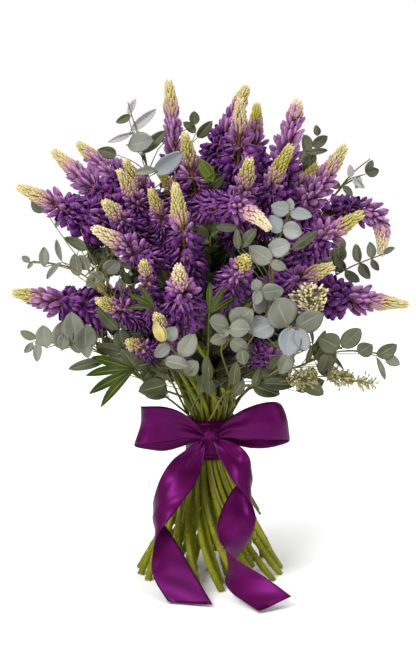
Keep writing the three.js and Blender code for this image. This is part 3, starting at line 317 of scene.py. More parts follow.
TAIL_RIGHT = [
    [(10, -41, 160), (4, -41, 155)], [(24, -50, 158), (8, -44, 145)],
    [(36, -58, 152), (13, -54, 136)], [(43, -58, 140), (19, -68, 127)],
    [(44, -52, 123), (28, -80, 116)], [(38, -48, 111), (38, -84, 105)],
    [(27, -52, 109), (47, -80, 88)], [(17, -64, 96), (47, -76, 71)],
    [(10, -78, 82), (41, -76, 54)], [(8, -94, 70), (31, -78, 40)],
    [(14, -106, 58), (21, -86, 27)], [(29, -112, 46), (17, -98, 17)],
    [(54, -120, 32), (25, -116, 9)], [(84, -136, 14), (50, -152, 3)],
]
# Where each tail turns over: how far along it, over what length, and how far it curls out of its own plane.
CURLS_LEFT = [(92, 26, -8)]
CURLS_RIGHT = [(58, 22, 8), (112, 22, -7)]
KNOT_AT = (0, -37.2, 163.5)
KNOT_LENGTH, KNOT_RADIUS, KNOT_HEIGHT = 17, 9, 7.5

# Lights: the world's strength off camera, the overhead sun, and softboxes as name, place, side and power.
AMBIENT = 0.18
SUN_STRENGTH, SUN_ANGLE = 2.7, 1.2
SOFTBOXES = [
    ("key", (-0.9, -1.6, 1.5), 0.7, 42),
    ("fill", (1.5, -1.4, 0.8), 1.0, 10),
    ("rim", (0.9, 1.6, 1.3), 1.0, 8),
]
FLOOR_HALF = 6.0

# The first seed of each kind of piece.
FLORET_SEED, BUD_SEED, STEM_SEED, INNER_SEED, LUPIN_LEAF_SEED = 700, 300, 500, 900, 1300
CLUSTER_SEED, BRANCH_CLUSTER_SEED = 1000, 1100
GOLDEN = math.pi * (3 - math.sqrt(5))


# ---------------------------------------------------------------- small helpers
def mix(a, b, t):
    return a + (b - a) * t


def unit(v):
    v = np.asarray(v, float)
    return v / np.maximum(np.linalg.norm(v, axis=-1, keepdims=True), 1e-9)


def draws(seed):
    """The same 32-bit generator as the solids use."""
    state = seed & 0xFFFFFFFF

    def draw():
        nonlocal state
        state = (state * 1664525 + 1013904223) & 0xFFFFFFFF
        return state / 4294967296

    return draw


def hermite(a, leave, b, arrive, t):
    t2, t3 = t * t, t * t * t
    return (2 * t3 - 3 * t2 + 1) * a + (t3 - 2 * t2 + t) * leave + (3 * t2 - 2 * t3) * b + (t3 - t2) * arrive


def smooth_at(points, t):
    """A smooth curve through points by uniform Catmull-Rom, at t from 0 to 1."""
    points = np.asarray(points, float)
    spans = len(points) - 1
    k = min(spans - 1, int(t * spans))
    first, last = 2 * points[0] - points[1], 2 * points[-1] - points[-2]
    padded = np.vstack([first[None], points, last[None]])
    a, b, c, d = padded[k:k + 4]
    return hermite(b, (c - a) / 2, c, (d - b) / 2, t * spans - k)


def smooth_line(points, count):
    return np.array([smooth_at(points, t) for t in np.linspace(0, 1, count)])


def turned(v, axis, angle):
    axis, c = unit(axis), math.cos(angle)
    return v * c + np.cross(axis, v) * math.sin(angle) + axis * (axis @ v) * (1 - c)


def seen_at(px, py, y):
    """The point at depth y, in millimetres, that the camera shows at a pixel of the photograph."""
    c, s = math.cos(EYE_ELEVATION), math.sin(EYE_ELEVATION)
    across, up = (px - WIDE_SIDE / 2) / FOCAL_PIXELS, (LONG_SIDE / 2 - py) / FOCAL_PIXELS
    eye = np.array([LOOK_AT.x, -EYE_DISTANCE * c, LOOK_AT.z + EYE_DISTANCE * s]) / MM
    ray = np.array([across, c + up * s, up * c - s])
    return eye + ray * (y - eye[1]) / ray[1]


# ---------------------------------------------------------------- forms and meshes
# A closed form: points, faces, and for each point its kind and its spot on the form.
Form = namedtuple("Form", "points quads tris kind spot")


def loft(rings, kind=0.0, spot=None):
    """The skin over rings (k, n, 3), closed at both ends and facing out. spot is (k, n, 3)."""
    rings = np.asarray(rings, float)
    k, n = rings.shape[:2]
    if spot is None:
        spot = np.zeros((k, n, 3))
        spot[..., 0] = np.linspace(0, 1, k)[:, None]
    points = np.vstack([rings.reshape(-1, 3), rings[0].mean(0)[None], rings[-1].mean(0)[None]])
    spots = np.vstack([spot.reshape(-1, 3), spot[0].mean(0)[None], spot[-1].mean(0)[None]])
    i, j = np.meshgrid(np.arange(k - 1), np.arange(n), indexing="ij")
    after = (j + 1) % n
    quads = np.stack([i * n + j, i * n + after, (i + 1) * n + after, (i + 1) * n + j], -1).reshape(-1, 4)
    j = np.arange(n)
    low = np.stack([(j + 1) % n, j, np.full(n, k * n)], -1)
    high = np.stack([(k - 1) * n + j, (k - 1) * n + (j + 1) % n, np.full(n, k * n + 1)], -1)
    tris = np.vstack([low, high])
    faces = np.vstack([quads[:, :3], quads[:, [0, 2, 3]], tris])
    a, b, c = (points[faces[:, m]] for m in range(3))
    if (a * np.cross(b, c)).sum() < 0:
        quads, tris = quads[:, ::-1], tris[:, ::-1]
    return Form(points, quads, tris, np.full(len(points), kind), spots)


def sheet_rings(middle, thick):
    """The rings round a thin sheet whose middle is the grid middle (k, m, 3), thinning to its side edges."""
    along = np.gradient(middle, axis=0)
    across = np.gradient(middle, axis=1)
    normal = unit(np.cross(along, across))
    half = np.broadcast_to(np.asarray(thick, float), middle.shape[:2])[..., None] / 2
    inner = slice(1, -1)
    upper = middle[:, inner] + normal[:, inner] * half[:, inner]
    lower = middle[:, inner] - normal[:, inner] * half[:, inner]
    return np.concatenate([middle[:, :1], upper, middle[:, -1:], lower[:, ::-1]], 1)


def sheet_spots(us, vs):
    """Spots that go with sheet_rings: share along, share across from -1 to 1, and 1 on the upper face."""
    k, m = len(us), len(vs)
    grid = np.zeros((k, 2 * m - 2, 3))
    grid[..., 0] = np.asarray(us)[:, None]
    grid[..., 1] = np.concatenate([vs, vs[-2:0:-1]])
    grid[:, :m, 2] = 1
    return grid


def together(*forms):
    start, points, quads, tris, kinds, spots = 0, [], [], [], [], []
    for form in forms:
        points.append(form.points)
        quads.append(form.quads + start)
        tris.append(form.tris + start)
        kinds.append(form.kind)
        spots.append(form.spot)
        start += len(form.points)
    return Form(*(np.concatenate(part) for part in (points, quads, tris, kinds, spots)))


def tube(points, radii, sides=6, kind=0.0, ribs=0.0):
    """A round form along points. Its spots hold the share along it and the angle round it."""
    points = np.asarray(points, float)
    radii = np.broadcast_to(np.asarray(radii, float), len(points))
    along = unit(np.gradient(points, axis=0))
    guide = np.array([0, 0, 1.0]) if abs(along[-1][2]) < 0.9 else np.array([0, 1.0, 0])
    normal, frames = guide, []
    for direction in along[::-1]:
        normal = unit(normal - direction * (normal @ direction))
        frames.append((normal, np.cross(direction, normal)))
    frames = frames[::-1]
    angles = np.arange(sides) / sides * 2 * math.pi
    rings, spots = [], []
    for i, (centre, radius) in enumerate(zip(points, radii)):
        swell = 1 + ribs * np.cos(angles * sides / 2)
        ring = centre + radius * swell[:, None] * (
            np.cos(angles)[:, None] * frames[i][0] + np.sin(angles)[:, None] * frames[i][1])
        rings.append(ring)
        share = i / (len(points) - 1)
        spots.append(np.stack([np.full(sides, share), np.cos(angles), np.sin(angles)], -1))
    return loft(rings, kind, np.array(spots))


class Skin:
    """Forms gathered into one mesh, in millimetres."""

    def __init__(self):
        self.points, self.quads, self.tris, self.paint, self.spot = [], [], [], [], []
        self.count = 0

    def add(self, form, age=0.0, chance=0.5):
        self.stamp(form, np.zeros((1, 3)), np.eye(3)[None], np.ones(1), [age], [chance])

    def twig(self, points, start, end, sides=6, age=0.5):
        """A tube along points, of kind 1, whose radius goes from start to end."""
        self.add(tube(points, np.linspace(start, end, len(points)), sides, 1.0), age)

    def stamp(self, form, places, frames, sizes, ages, chances):
        """Copies of a form. frames (m, 3, 3) hold each copy's own axes as rows; sizes are (m,) or (m, 3)."""
        places, frames = np.asarray(places, float), np.asarray(frames, float)
        sizes = np.asarray(sizes, float)
        if sizes.ndim == 1:
            sizes = sizes[:, None]
        m, n = len(places), len(form.points)
        local = form.points[None] * sizes[:, None, :]
        world = places[:, None, :] + np.einsum("mnk,mkj->mnj", local, frames)
        starts = self.count + np.arange(m)[:, None, None] * n
        self.points.append(world.reshape(-1, 3))
        self.quads.append((form.quads[None] + starts).reshape(-1, 4))
        self.tris.append((form.tris[None] + starts).reshape(-1, 3))
        paint = np.empty((m, n, 3))
        paint[..., 0] = form.kind
        paint[..., 1] = np.asarray(ages, float)[:, None]
        paint[..., 2] = np.asarray(chances, float)[:, None]
        self.paint.append(paint.reshape(-1, 3))
        self.spot.append(np.tile(form.spot, (m, 1)))
        self.count += m * n


def linked(name, data):
    """A new object, linked into the scene."""
    thing = bpy.data.objects.new(name, data)
    bpy.context.scene.collection.objects.link(thing)
    return thing


def make_piece(name, skin, material, node):
    """One mesh object from a skin, riding on the bouquet and standing for this solid."""
    points = np.concatenate(skin.points) * MM
    quads, tris = np.concatenate(skin.quads), np.concatenate(skin.tris)
    mesh = bpy.data.meshes.new(name)
    mesh.vertices.add(len(points))
    mesh.vertices.foreach_set("co", points.astype(np.float32).ravel())
    corners = np.concatenate([quads.ravel(), tris.ravel()])
    mesh.loops.add(len(corners))
    mesh.loops.foreach_set("vertex_index", corners.astype(np.int32))
    starts = np.concatenate([np.arange(len(quads)) * 4, 4 * len(quads) + np.arange(len(tris)) * 3])
    mesh.polygons.add(len(starts))
    mesh.polygons.foreach_set("loop_start", starts.astype(np.int32))
    mesh.polygons.foreach_set("use_smooth", np.ones(len(starts), bool))
    for label, values in (("paint", skin.paint), ("spot", skin.spot)):
        attribute = mesh.attributes.new(label, "FLOAT_VECTOR", "POINT")
        attribute.data.foreach_set("vector", np.concatenate(values).astype(np.float32).ravel())
    mesh.update(calc_edges=True)
    mesh.validate()
    mesh.materials.append(material)
    piece = linked(name, mesh)
    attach(piece, "root")
    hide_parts(node)
    return piece


# ---------------------------------------------------------------- lines through the bouquet
def fanned(place, z):
    """Where what passes the tie at a place is at a height below it."""
    t = max(0, (WAIST_LOW - z) / WAIST_LOW)
    spread = 1 + (FOOT_SPREAD - 1) * t ** FOOT_CURVE
    c, s = math.cos(FOOT_TWIST * t), math.sin(FOOT_TWIST * t)
    x, y = place
    return np.array([spread * (x * c - y * s), spread * (x * s + y * c), z])


class Spike:
    """One lupin spike: where its flowers run, and how far its florets reach."""

    def __init__(self, order, name, tip, base, reach, buds, via, cream):
        self.order, self.name, self.reach, self.buds, self.cream = order, name, reach, buds, cream
        self.tip, self.base = np.array(tip, float), np.array(base, float)
        self.bent = via is not None
        self.via = np.array(via, float) if self.bent else (self.base + self.tip) / 2
        line = np.array([self.at(t) for t in np.linspace(0, 1, 9)])
        self.length = np.linalg.norm(np.diff(line, axis=0), axis=1).sum()
        self.share = 1 - buds / self.length
        self.bud_radius = min(BUD_CONE_RADIUS, reach * 0.46)
        frame_axes = [np.array([0, 0, 1.0]), np.array([0, 1.0, 0]), np.array([1.0, 0, 0])]
        self.guide = min(frame_axes, key=lambda a: max(abs(self.heading(t) @ a) for t in (0, 0.5, 1)))

    def at(self, t):
        return (1 - t) ** 2 * self.base + 2 * t * (1 - t) * self.via + t * t * self.tip

    def heading(self, t):
        return unit(self.at(t + 0.02) - self.at(t - 0.02))

    def axes(self, t):
        along = self.heading(t)
        normal = unit(self.guide - along * (self.guide @ along))
        return along, normal, np.cross(along, normal)

    def floret_reach(self, u):
        shoulder = mix(0.72, 1, min(1, u / 0.18))
        return shoulder * mix(self.reach * 1.06, self.bud_radius + 3.5, u * u)


def tie_places(spikes):
    """Each spike's place in the tie: the more it leans, the further out, in the direction it leans."""
    def lean(s):
        return math.hypot(s.base[0], s.base[1]) / (s.base[2] - TIE_HEIGHT)

    def heading(s):
        return math.atan2(s.base[1], s.base[0])

    by_lean = sorted(spikes, key=lean)
    places, first = {}, 0
    for count, radius in zip(STEM_RINGS, STEM_RING_RADII):
        members = sorted(by_lean[first:first + count], key=heading)
        start = heading(members[0]) + HEAD_TWIST
        for k, spike in enumerate(members):
            angle = start + k / count * 2 * math.pi
            places[spike.name] = (radius * math.cos(angle), radius * math.sin(angle))
        first += count
    return places


def slot_place(slot):
    angle = (slot / TWIG_SLOTS * 2 - 0.5) * math.pi
    return TWIG_RING_RADIUS * math.cos(angle), TWIG_RING_RADIUS * math.sin(angle)


def twig_route(slot, path):
    return np.array([(*slot_place(slot), WAIST_HIGH), *path], float)


def twig_line(slot, path, until=1.0):
    """A twig from its cut foot, through the tie, and along its path."""
    place = slot_place(slot)
    foot = [fanned(place, z) for z in np.linspace(TWIG_FOOT, WAIST_LOW, 6)]
    route = twig_route(slot, path)
    upper = [smooth_at(route, t) for t in np.linspace(0, until, 26)]
    return np.array(foot + upper)


def route_length(route):
    return np.linalg.norm(np.diff(smooth_line(route, 25), axis=0), axis=1).sum()


# ---------------------------------------------------------------- materials
class Nodes:
    """Short names for the shader nodes of one material."""

    def __init__(self, name, roughness, **sockets):
        self.material = bpy.data.materials.new(name)
        self.material.use_nodes = True
        self.tree = self.material.node_tree
        self.shader = self.tree.nodes["Principled BSDF"]
        self.shader.inputs["Roughness"].default_value = roughness
        for label, value in sockets.items():
            self.shader.inputs[label.replace("_", " ")].default_value = value

    def new(self, kind, settings=(), **inputs):
        node = self.tree.nodes.new("ShaderNode" + kind)
        for label, value in dict(settings).items():
            setattr(node, label, value)
        for label, value in inputs.items():
            self.put(node.inputs[label.replace("_", " ")], value)
        return node

    def put(self, socket, value):
        if isinstance(value, bpy.types.NodeSocket):
            self.tree.links.new(value, socket)
        else:
            socket.default_value = value

    def attribute(self, name):
        vector = self.new("Attribute", {"attribute_name": name}).outputs["Vector"]
        return tuple(self.new("SeparateXYZ", Vector=vector).outputs)

    def maths(self, operation, a, b=0.0):
        node = self.new("Math", {"operation": operation})
        self.put(node.inputs[0], a)
        self.put(node.inputs[1], b)
        return node.outputs[0]

    def times(self, a, b):
        return self.maths("MULTIPLY", a, b)

    def mixed(self, share, a, b):
        """Two colours mixed. Each is a node's output or an sRGB triple."""
        node = self.new("Mix", {"data_type": "RGBA"})
        for k, value in ((0, share), (6, a), (7, b)):
            self.put(node.inputs[k], tone(*value) if isinstance(value, tuple) else value)
        return node.outputs[2]

    def noise(self, scale, detail=2.0, vector=None):
        if vector is None:
            vector = self.new("TexCoord").outputs["Object"]
        return self.new("TexNoise", Vector=vector, Scale=scale, Detail=detail).outputs["Fac"]

    def stretch(self, share, low, high, to_low=0.0, to_high=1.0):
        return self.new("MapRange", Value=share, From_Min=low, From_Max=high,
                        To_Min=to_low, To_Max=to_high).outputs["Result"]

    def finish(self, colour, height=None, distance=0.0, strength=0.0):
        """The material, with a colour and a bump of this distance in metres."""
        self.put(self.shader.inputs["Base Color"], colour)
        if height is not None:
            bump = self.new("Bump", Height=height, Strength=strength, Distance=distance)
            self.put(self.shader.inputs["Normal"], bump.outputs["Normal"])
        return self.material


def tone(red, green, blue):
    """An sRGB colour, 0 to 255, as the shader takes it."""
    def linear(c):
        c /= 255
        return c / 12.92 if c <= 0.04045 else ((c + 0.055) / 1.055) ** 2.4

    return (linear(red), linear(green), linear(blue), 1.0)


# Each form's "paint" is its kind (1 for stalks and cuts), its age, height or colour, and a chance of its own.
# Its "spot" is the share along it, the share across it, and on sheets the upper face.
def petal_material():
    """Violet petals with magenta and mauve among them, the magenta patches partly painted highlight, with
    painted shade towards their roots and a painted highlight along their edges; pedicels and calyxes are tan
    and rose.
    """
    n = Nodes("petal", 0.42, Specular_IOR_Level=0.22)
    kind, age, chance = n.attribute("paint")
    u, v, banner = n.attribute("spot")
    # Random patches mixed half way to a light magenta: partly the petals' own magenta, partly painted
    # highlight.
    patch = n.stretch(n.noise(70.0), 0.42, 0.62)
    deep = n.mixed(chance, (44, 9, 76), (90, 23, 108))
    petal = n.mixed(n.times(patch, 0.5), deep, (130, 50, 146))
    petal = n.mixed(n.times(banner, 0.35), petal, (134, 68, 144))
    old = n.stretch(age, 0.62, 1.0)
    petal = n.mixed(n.times(old, 0.8), petal, n.mixed(chance, (132, 70, 134), (178, 124, 158)))
    # Painted shade: each petal darkens to near black towards its root, for the shade deep inside the spike.
    painted_root_shade = n.stretch(u, 0.0, 0.55, 1.0, 0.0)
    petal = n.mixed(n.times(painted_root_shade, 0.75), petal, (30, 2, 40))
    # Painted highlight: each petal's edges are mixed towards a pale pink, as where light catches them.
    rim = n.maths("POWER", n.maths("ABSOLUTE", v), 5.0)
    petal = n.mixed(n.times(rim, 0.8), petal, (210, 160, 194))
    stalk = n.mixed(chance, (146, 96, 82), (190, 148, 112))
    stalk = n.mixed(n.times(n.noise(300.0), 0.6), stalk, (122, 54, 88))
    return n.finish(n.mixed(kind, petal, stalk), n.noise(900.0, 3.0), 0.0003, 0.35)


def bud_material():
    """Unopened buds, from yellow-green to cream, paler at their tips and rosy low on the cone, with painted
    shade at their feet.
    """
    n = Nodes("bud", 0.6, Specular_IOR_Level=0.2)
    _, age, chance = n.attribute("paint")
    u = n.attribute("spot")[0]
    green = n.mixed(n.noise(260.0), (142, 137, 26), (182, 174, 62))
    cream = n.mixed(n.noise(260.0), (194, 176, 142), (226, 212, 184))
    body = n.mixed(chance, green, cream)
    rosy = n.times(n.stretch(age, 0.0, 0.35, 0.8, 0.0), n.stretch(u, 0.1, 0.7))
    body = n.mixed(rosy, body, (168, 112, 132))
    # Painted shade: each bud, and the cone's core low down, darken towards their feet, where they crowd
    # together.
    body = n.mixed(n.stretch(u, 0.2, 0.6, 0.45, 0.0), body, (126, 90, 44))
    body = n.mixed(n.stretch(age, 0.6, 1.0, 0.0, 0.5), body, (212, 200, 146))
    colour = n.mixed(n.stretch(u, 0.7, 1.0, 0.0, 0.4), body, (228, 206, 164))
    return n.finish(colour, n.noise(1200.0, 3.0), 0.0003, 0.4)


def stem_material():
    """Fresh green stems, ribbed along their length, olive in places and pale where they are cut."""
    n = Nodes("stem", 0.5, Specular_IOR_Level=0.14)
    kind, height, chance = n.attribute("paint")
    place = n.new("Mapping", Vector=n.new("TexCoord").outputs["Object"], Scale=(900.0, 900.0, 30.0))
    fibre = n.noise(1.0, 3.0, place.outputs["Vector"])
    green = n.mixed(chance, (118, 120, 4), (152, 154, 34))
    green = n.mixed(n.stretch(n.noise(28.0), 0.35, 0.7, 0.0, 0.7), green, (82, 82, 2))
    green = n.mixed(n.stretch(fibre, 0.4, 0.8, 0.0, 0.45), green, (176, 176, 64))
    green = n.mixed(n.times(n.stretch(height, 0.7, 0.88), 0.9), green, (112, 72, 68))
    return n.finish(n.mixed(kind, green, (206, 200, 142)), fibre, 0.0005, 0.4)


def leaf_material():
    """Eucalyptus: a waxy bloom over grey-green, a pale midrib and side veins."""
    n = Nodes("eucalyptus", 0.5, Specular_IOR_Level=0.3)
    kind, olive, chance = n.attribute("paint")
    u, v, _ = n.attribute("spot")
    bloom = n.stretch(n.noise(40.0, 4.0), 0.3, 0.7)
    share = n.maths("ADD", olive, n.stretch(chance, 0.0, 1.0, -0.12, 0.12))
    body = n.mixed(n.stretch(share, -0.6, -0.4), (164, 160, 162), (126, 131, 136))
    # From silver on, each colour with and without bloom, and between which shares it comes in.
    for low, high, bare, waxy in (
            (-0.25, 0.1, (98, 100, 88), (131, 132, 122)),
            (0.1, 1.0, (56, 62, 30), (92, 96, 66)),
            # From 1.0 to 1.6 the leaves darken to near black-green: painted shade for leaves deep inside the
            # bouquet.
            (1.0, 1.6, (26, 30, 8), (46, 52, 18)),
            (1.7, 1.8, (66, 88, 4), (104, 124, 14)),
            (2.3, 2.5, (164, 146, 70), (204, 190, 130))):
        body = n.mixed(n.stretch(share, low, high), body, n.mixed(bloom, bare, waxy))
    side = n.maths("ABSOLUTE", v)
    veins = n.maths("SINE", n.times(n.maths("SUBTRACT", u, n.times(side, 0.28)), 62.0))
    veins = n.stretch(veins, 0.8, 1.0)
    body = n.mixed(n.times(veins, 0.06), body, (196, 198, 184))
    body = n.mixed(n.stretch(side, 0.02, 0.08, 0.4, 0.0), body, (158, 160, 128))
    twig = n.mixed(n.noise(60.0), (82, 84, 26), (112, 108, 50))
    height = n.maths("ADD", n.times(veins, 0.4), n.noise(500.0))
    return n.finish(n.mixed(kind, body, twig), height, 0.0002, 0.15)


def lupin_leaf_material():
    """Fresh green leaflets with a pale midrib, greyer beneath."""
    n = Nodes("lupin_leaf", 0.45, Specular_IOR_Level=0.12)
    kind, _, chance = n.attribute("paint")
    _, v, face = n.attribute("spot")
    patch = n.stretch(n.noise(60.0, 3.0), 0.3, 0.7)
    green = n.mixed(patch, (18, 28, 0), (48, 62, 3))
    green = n.mixed(chance, green, (50, 62, 14))
    green = n.mixed(n.stretch(face, 0.0, 1.0, 0.6, 0.0), green, (104, 116, 70))
    side = n.maths("ABSOLUTE", v)
    green = n.mixed(n.stretch(side, 0.03, 0.14, 0.5, 0.0), green, (112, 128, 40))
    green = n.mixed(n.stretch(side, 0.8, 1.0, 0.0, 0.6), green, (108, 124, 40))
    stalk = n.mixed(n.noise(50.0), (58, 66, 14), (86, 92, 28))
    return n.finish(n.mixed(kind, green, stalk), n.noise(500.0, 3.0), 0.0003, 0.35)


def seed_material():
    """Seed capsules of eucalyptus, cream with olive among them, on fine stalks."""
    n = Nodes("seed", 0.6, Specular_IOR_Level=0.2)
    kind, olive, chance = n.attribute("paint")
    u = n.attribute("spot")[0]
    cream = n.mixed(chance, (196, 184, 132), (216, 208, 168))
    dull = n.mixed(chance, (112, 108, 56), (148, 142, 92))
    body = n.mixed(olive, cream, dull)
    body = n.mixed(n.stretch(u, 0.0, 0.5, 0.6, 0.0), body, (118, 112, 62))
    return n.finish(n.mixed(kind, body, (126, 118, 70)), n.noise(900.0), 0.0003, 0.4)


def ribbon_material():
    """Purple satin: a fine weave, darker at its woven edges, with a violet sheen, mottled darker and lighter
    as painted shade and sheen.
    """
    n = Nodes("satin", 0.43, Specular_IOR_Level=0.85, Specular_Tint=tone(214, 74, 214))
    v = n.attribute("spot")[1]
    # Painted shade and sheen: the purple is mottled at random between a darker and a lighter tone.
    colour = n.mixed(n.stretch(n.noise(22.0, 3.0), 0.3, 0.7), (48, 1, 34), (72, 3, 56))
    colour = n.mixed(n.stretch(n.maths("ABSOLUTE", v), 0.955, 0.975, 0.0, 0.6), colour, (56, 4, 44))
    return n.finish(colour, n.noise(1400.0, 2.0), 0.0001, 0.15)


# ---------------------------------------------------------------- lupin flowers
# The length of an open and a young floret as made, and how far past a spike's reach each is set.
OPEN_LENGTH, OPEN_FULLNESS, YOUNG_LENGTH, YOUNG_FULLNESS = 20, 1.1, 17, 1.3
# Millimetres to the first whorl, and between whorls at the base and under the buds.
FIRST_WHORL, WHORL_STEP_LOW, WHORL_STEP_HIGH = 2.5, 8.7, 5.8
# The steps shrink to SLIM_STEP of that on spikes that reach less than FULL_REACH.
SLIM_STEP, FULL_REACH = 0.78, 18
WHORL_FLORETS, SLIM_FLORETS = 8, 6
# Age 0 is at the base of the flowers and 1 under the buds. Between these two the florets open.
OLDEST_OPEN, YOUNGEST = 0.66, 0.74
# Above BARE_FROM, a spike of BARE_FRONT keeps only the florets whose direction has more y than BARE_SIDE.
BARE_FROM, BARE_SIDE = 0.45, -0.72


def petal_sheet(point, rows, columns, thick):
    """A thin petal or leaf from point(u, v), u along it from 0 to 1 and v across it from -1 to 1."""
    us, vs = np.linspace(0, 1, rows), np.linspace(-1, 1, columns)
    middle = np.array([[point(u, v) for v in vs] for u in us])
    return loft(sheet_rings(middle, thick), 0.0, sheet_spots(us, vs))


def wing_petal(hand, spread, droop):
    """One of the two cupped wings of a pea flower: hand is 1 or -1, and spread parts them at the front."""
    root, length, half_width, half_height, wrap = 8.4, 12.2, 3.9, 5.0, 1.25

    def point(u, v):
        girth = math.sin(math.pi * (0.13 + 0.75 * u)) ** 0.75
        y = hand * (half_width * girth * math.cos(wrap * v) + spread * u * u + 0.3)
        z = 0.9 + 1.2 * math.sin(math.pi * u) - droop * u + half_height * girth * math.sin(wrap * v)
        return [root + length * u - 1.4 * v * v * u, y, z]

    return petal_sheet(point, 4, 4, 0.4)


def banner_petal(lean, fold):
    """The upright petal behind the wings, its sides folded back."""
    root, foot, height, half_width = 9.4, 2.2, 8.4, 5.3

    def point(u, v):
        half = half_width * math.sin(math.pi * (0.14 + 0.72 * u)) ** 0.75
        back = fold * v * v * u
        return [root + lean * math.sin(2.6 * u) - back, half * v * (1 - 0.1 * fold * u * u),
                foot + height * u - 0.8 * (1 - v * v) * u]

    banner = petal_sheet(point, 4, 4, 0.35)
    banner.spot[:, 2] = 1
    return banner


def open_floret(spread, droop, lean, fold):
    """A pea flower, 20 mm from the middle of the stem to its front: x is outwards and z is up the spike."""
    stalk = tube([(0.8, 0, -1.4), (5, 0, 0), (8.6, 0, 0.7), (11.4, 0, 1.2)], [0.5, 0.6, 2.9, 2.6], 4, 1.0)
    wings = (wing_petal(hand, spread, droop) for hand in (-1, 1))
    return together(*wings, banner_petal(lean, fold), stalk)


def young_floret():
    """A floret about to open, 17 mm long: slim, its wings folded, with its calyx half way up it."""
    line = [(6 + 11 * t, 0, 0.3 + 1.0 * t * t) for t in (0, 0.28, 0.62, 0.88, 1)]
    body = tube(line, [1.3, 2.4, 2.5, 1.6, 0.4], 6)
    body.spot[:, 2] = 0
    stalk = tube([(0.6, 0, -1), (4.4, 0, 0), (6.6, 0, 0.3), (8.4, 0, 0.5)], [0.45, 0.6, 2.1, 1.8], 4, 1.0)
    return together(body, stalk)


def cone_bud():
    """An unopened bud, 9.4 mm long, along x, full to near its rounded tip."""
    line = [(9.4 * t, 0, 0.4 * math.sin(math.pi * t)) for t in (0, 0.42, 0.82, 1)]
    return tube(line, [0.8, 1.5, 1.25, 0.35], 5)


def frames_about(along, normal, side, angles, pitches, rolls=0.0):
    """Axes for things that stand off a line: outwards and up it by pitch, then rolled about themselves."""
    outward = np.cos(angles)[:, None] * normal + np.sin(angles)[:, None] * side
    x = np.cos(pitches)[:, None] * outward + np.sin(pitches)[:, None] * along
    z = -np.sin(pitches)[:, None] * outward + np.cos(pitches)[:, None] * along
    y = np.cross(z, x)
    c, s = np.cos(rolls), np.sin(rolls)
    c, s = (np.broadcast_to(part, angles.shape)[:, None] for part in (c, s))
    return outward, np.stack([x, c * y + s * z, c * z - s * y], 1)


def whorls(spike):
    """Shares of the flowering part at which the rings of florets stand, closer together towards the buds."""
    span = spike.share * spike.length
    fullness = mix(SLIM_STEP, 1.0, min(1, spike.reach / FULL_REACH))
    at, found = FIRST_WHORL, []
    while at < span - 1:
        found.append(at / span)
        at += mix(WHORL_STEP_LOW, WHORL_STEP_HIGH, at / span) * fullness
    return found


def floret_piece(spike, material, forms):
    """All the florets of one spike, ring by ring. forms[0] is the young one."""
    chance = np.random.RandomState(FLORET_SEED + spike.order)
    skin = Skin()
    opened = YOUNG_FROM.get(spike.name, YOUNG)
    count = WHORL_FLORETS if spike.reach > SLIM_REACH else SLIM_FLORETS
    for k, u in enumerate(whorls(spike)):
        t = spike.share * u
        along, normal, side = spike.axes(t)
        angles = (np.arange(count) + 0.5 * (k % 2)) / count * 2 * math.pi + chance.uniform(-0.25, 0.25, count)
        reach = spike.floret_reach(u)
        if u > opened:
            youth = (u - opened) / (1 - opened)
            lean, age, form = mix(0.6, 1.2, youth), mix(YOUNGEST, 1, youth), forms[0]
            size = reach / YOUNG_LENGTH * YOUNG_FULLNESS
        else:
            lean, age, form = mix(0.0, 0.5, u / opened), min(u, OLDEST_OPEN), forms[1 + k % (len(forms) - 1)]
            size = reach / OPEN_LENGTH * OPEN_FULLNESS
        pitches = lean + chance.uniform(-0.25, 0.25, count)
        rolls = chance.uniform(-0.45, 0.45, count)
        outward, frames = frames_about(along, normal, side, angles, pitches, rolls)
        sizes = size * chance.uniform(0.86, 1.12, count)
        tones = chance.uniform(0, 1, count)
        bare = spike.name in BARE_FRONT and u > BARE_FROM
        kept = outward[:, 1] > BARE_SIDE if bare else np.full(count, True)
        places = np.tile(spike.at(t), (count, 1))
        skin.stamp(form, places[kept], frames[kept], sizes[kept], np.full(count, age)[kept], tones[kept])
    make_piece("florets_" + spike.name, skin, material, "lupin_florets_" + spike.name)


def cone_girth(s):
    """How far out the buds of a cone stand, from its foot to its blunt tip."""
    return (1 - 0.46 * max(0, s)) * math.sqrt(max(0.02, 1 - max(0, (s - 0.7) / 0.33) ** 2))


def bud_cones(spikes, material):
    """Every spike's pale cone: buds in a spiral, leaning out at its foot and closed at its tip."""
    buds_per_mm, core_radius, seat, sink = 3.1, 0.62, 0.7, 4
    bud, skin = cone_bud(), Skin()
    for spike in spikes:
        chance = np.random.RandomState(BUD_SEED + spike.order)
        scale = mix(0.72, 1, min(1, spike.bud_radius / BUD_CONE_RADIUS))
        count = int(spike.buds * buds_per_mm * scale)
        shares = np.linspace(-0.05, 0.93, 9)
        line = [spike.at(mix(spike.share, 1, s)) for s in shares]
        radii = [core_radius * spike.bud_radius * cone_girth(s) for s in shares]
        skin.add(tube(line, radii, 8), 0.5, spike.cream)
        for j in range(count):
            s = -0.14 + 1.08 * (j / count)
            t = mix(spike.share, 1, s)
            along, normal, side = spike.axes(t)
            lean = mix(1.24, 1.46, np.clip(s, 0, 1)) + chance.uniform(-0.08, 0.08)
            angle = j * GOLDEN + chance.uniform(-0.2, 0.2)
            outward, frames = frames_about(along, normal, side, np.array([angle]), np.array([lean]))
            place = spike.at(t) + outward * seat * spike.bud_radius * cone_girth(s) - along * sink
            size = scale * mix(1.1, 0.7, max(0, s)) * chance.uniform(0.9, 1.08)
            tint = np.clip(spike.cream + chance.uniform(-0.15, 0.15), 0, 1)
            skin.stamp(bud, place, frames, [size], [max(0, s)], [tint])
    make_piece("lupin_buds", skin, material, "lupin_stems")


# ---------------------------------------------------------------- stems
# Sides of a stem and the depth of its ribs, the height at which its paint is 1, and its lowest point.
STEM_SIDES, STEM_RIBS, HEIGHT_OF_PAINT, CLEAR_OF_FLOOR = 10, 0.035, 420, 0.05


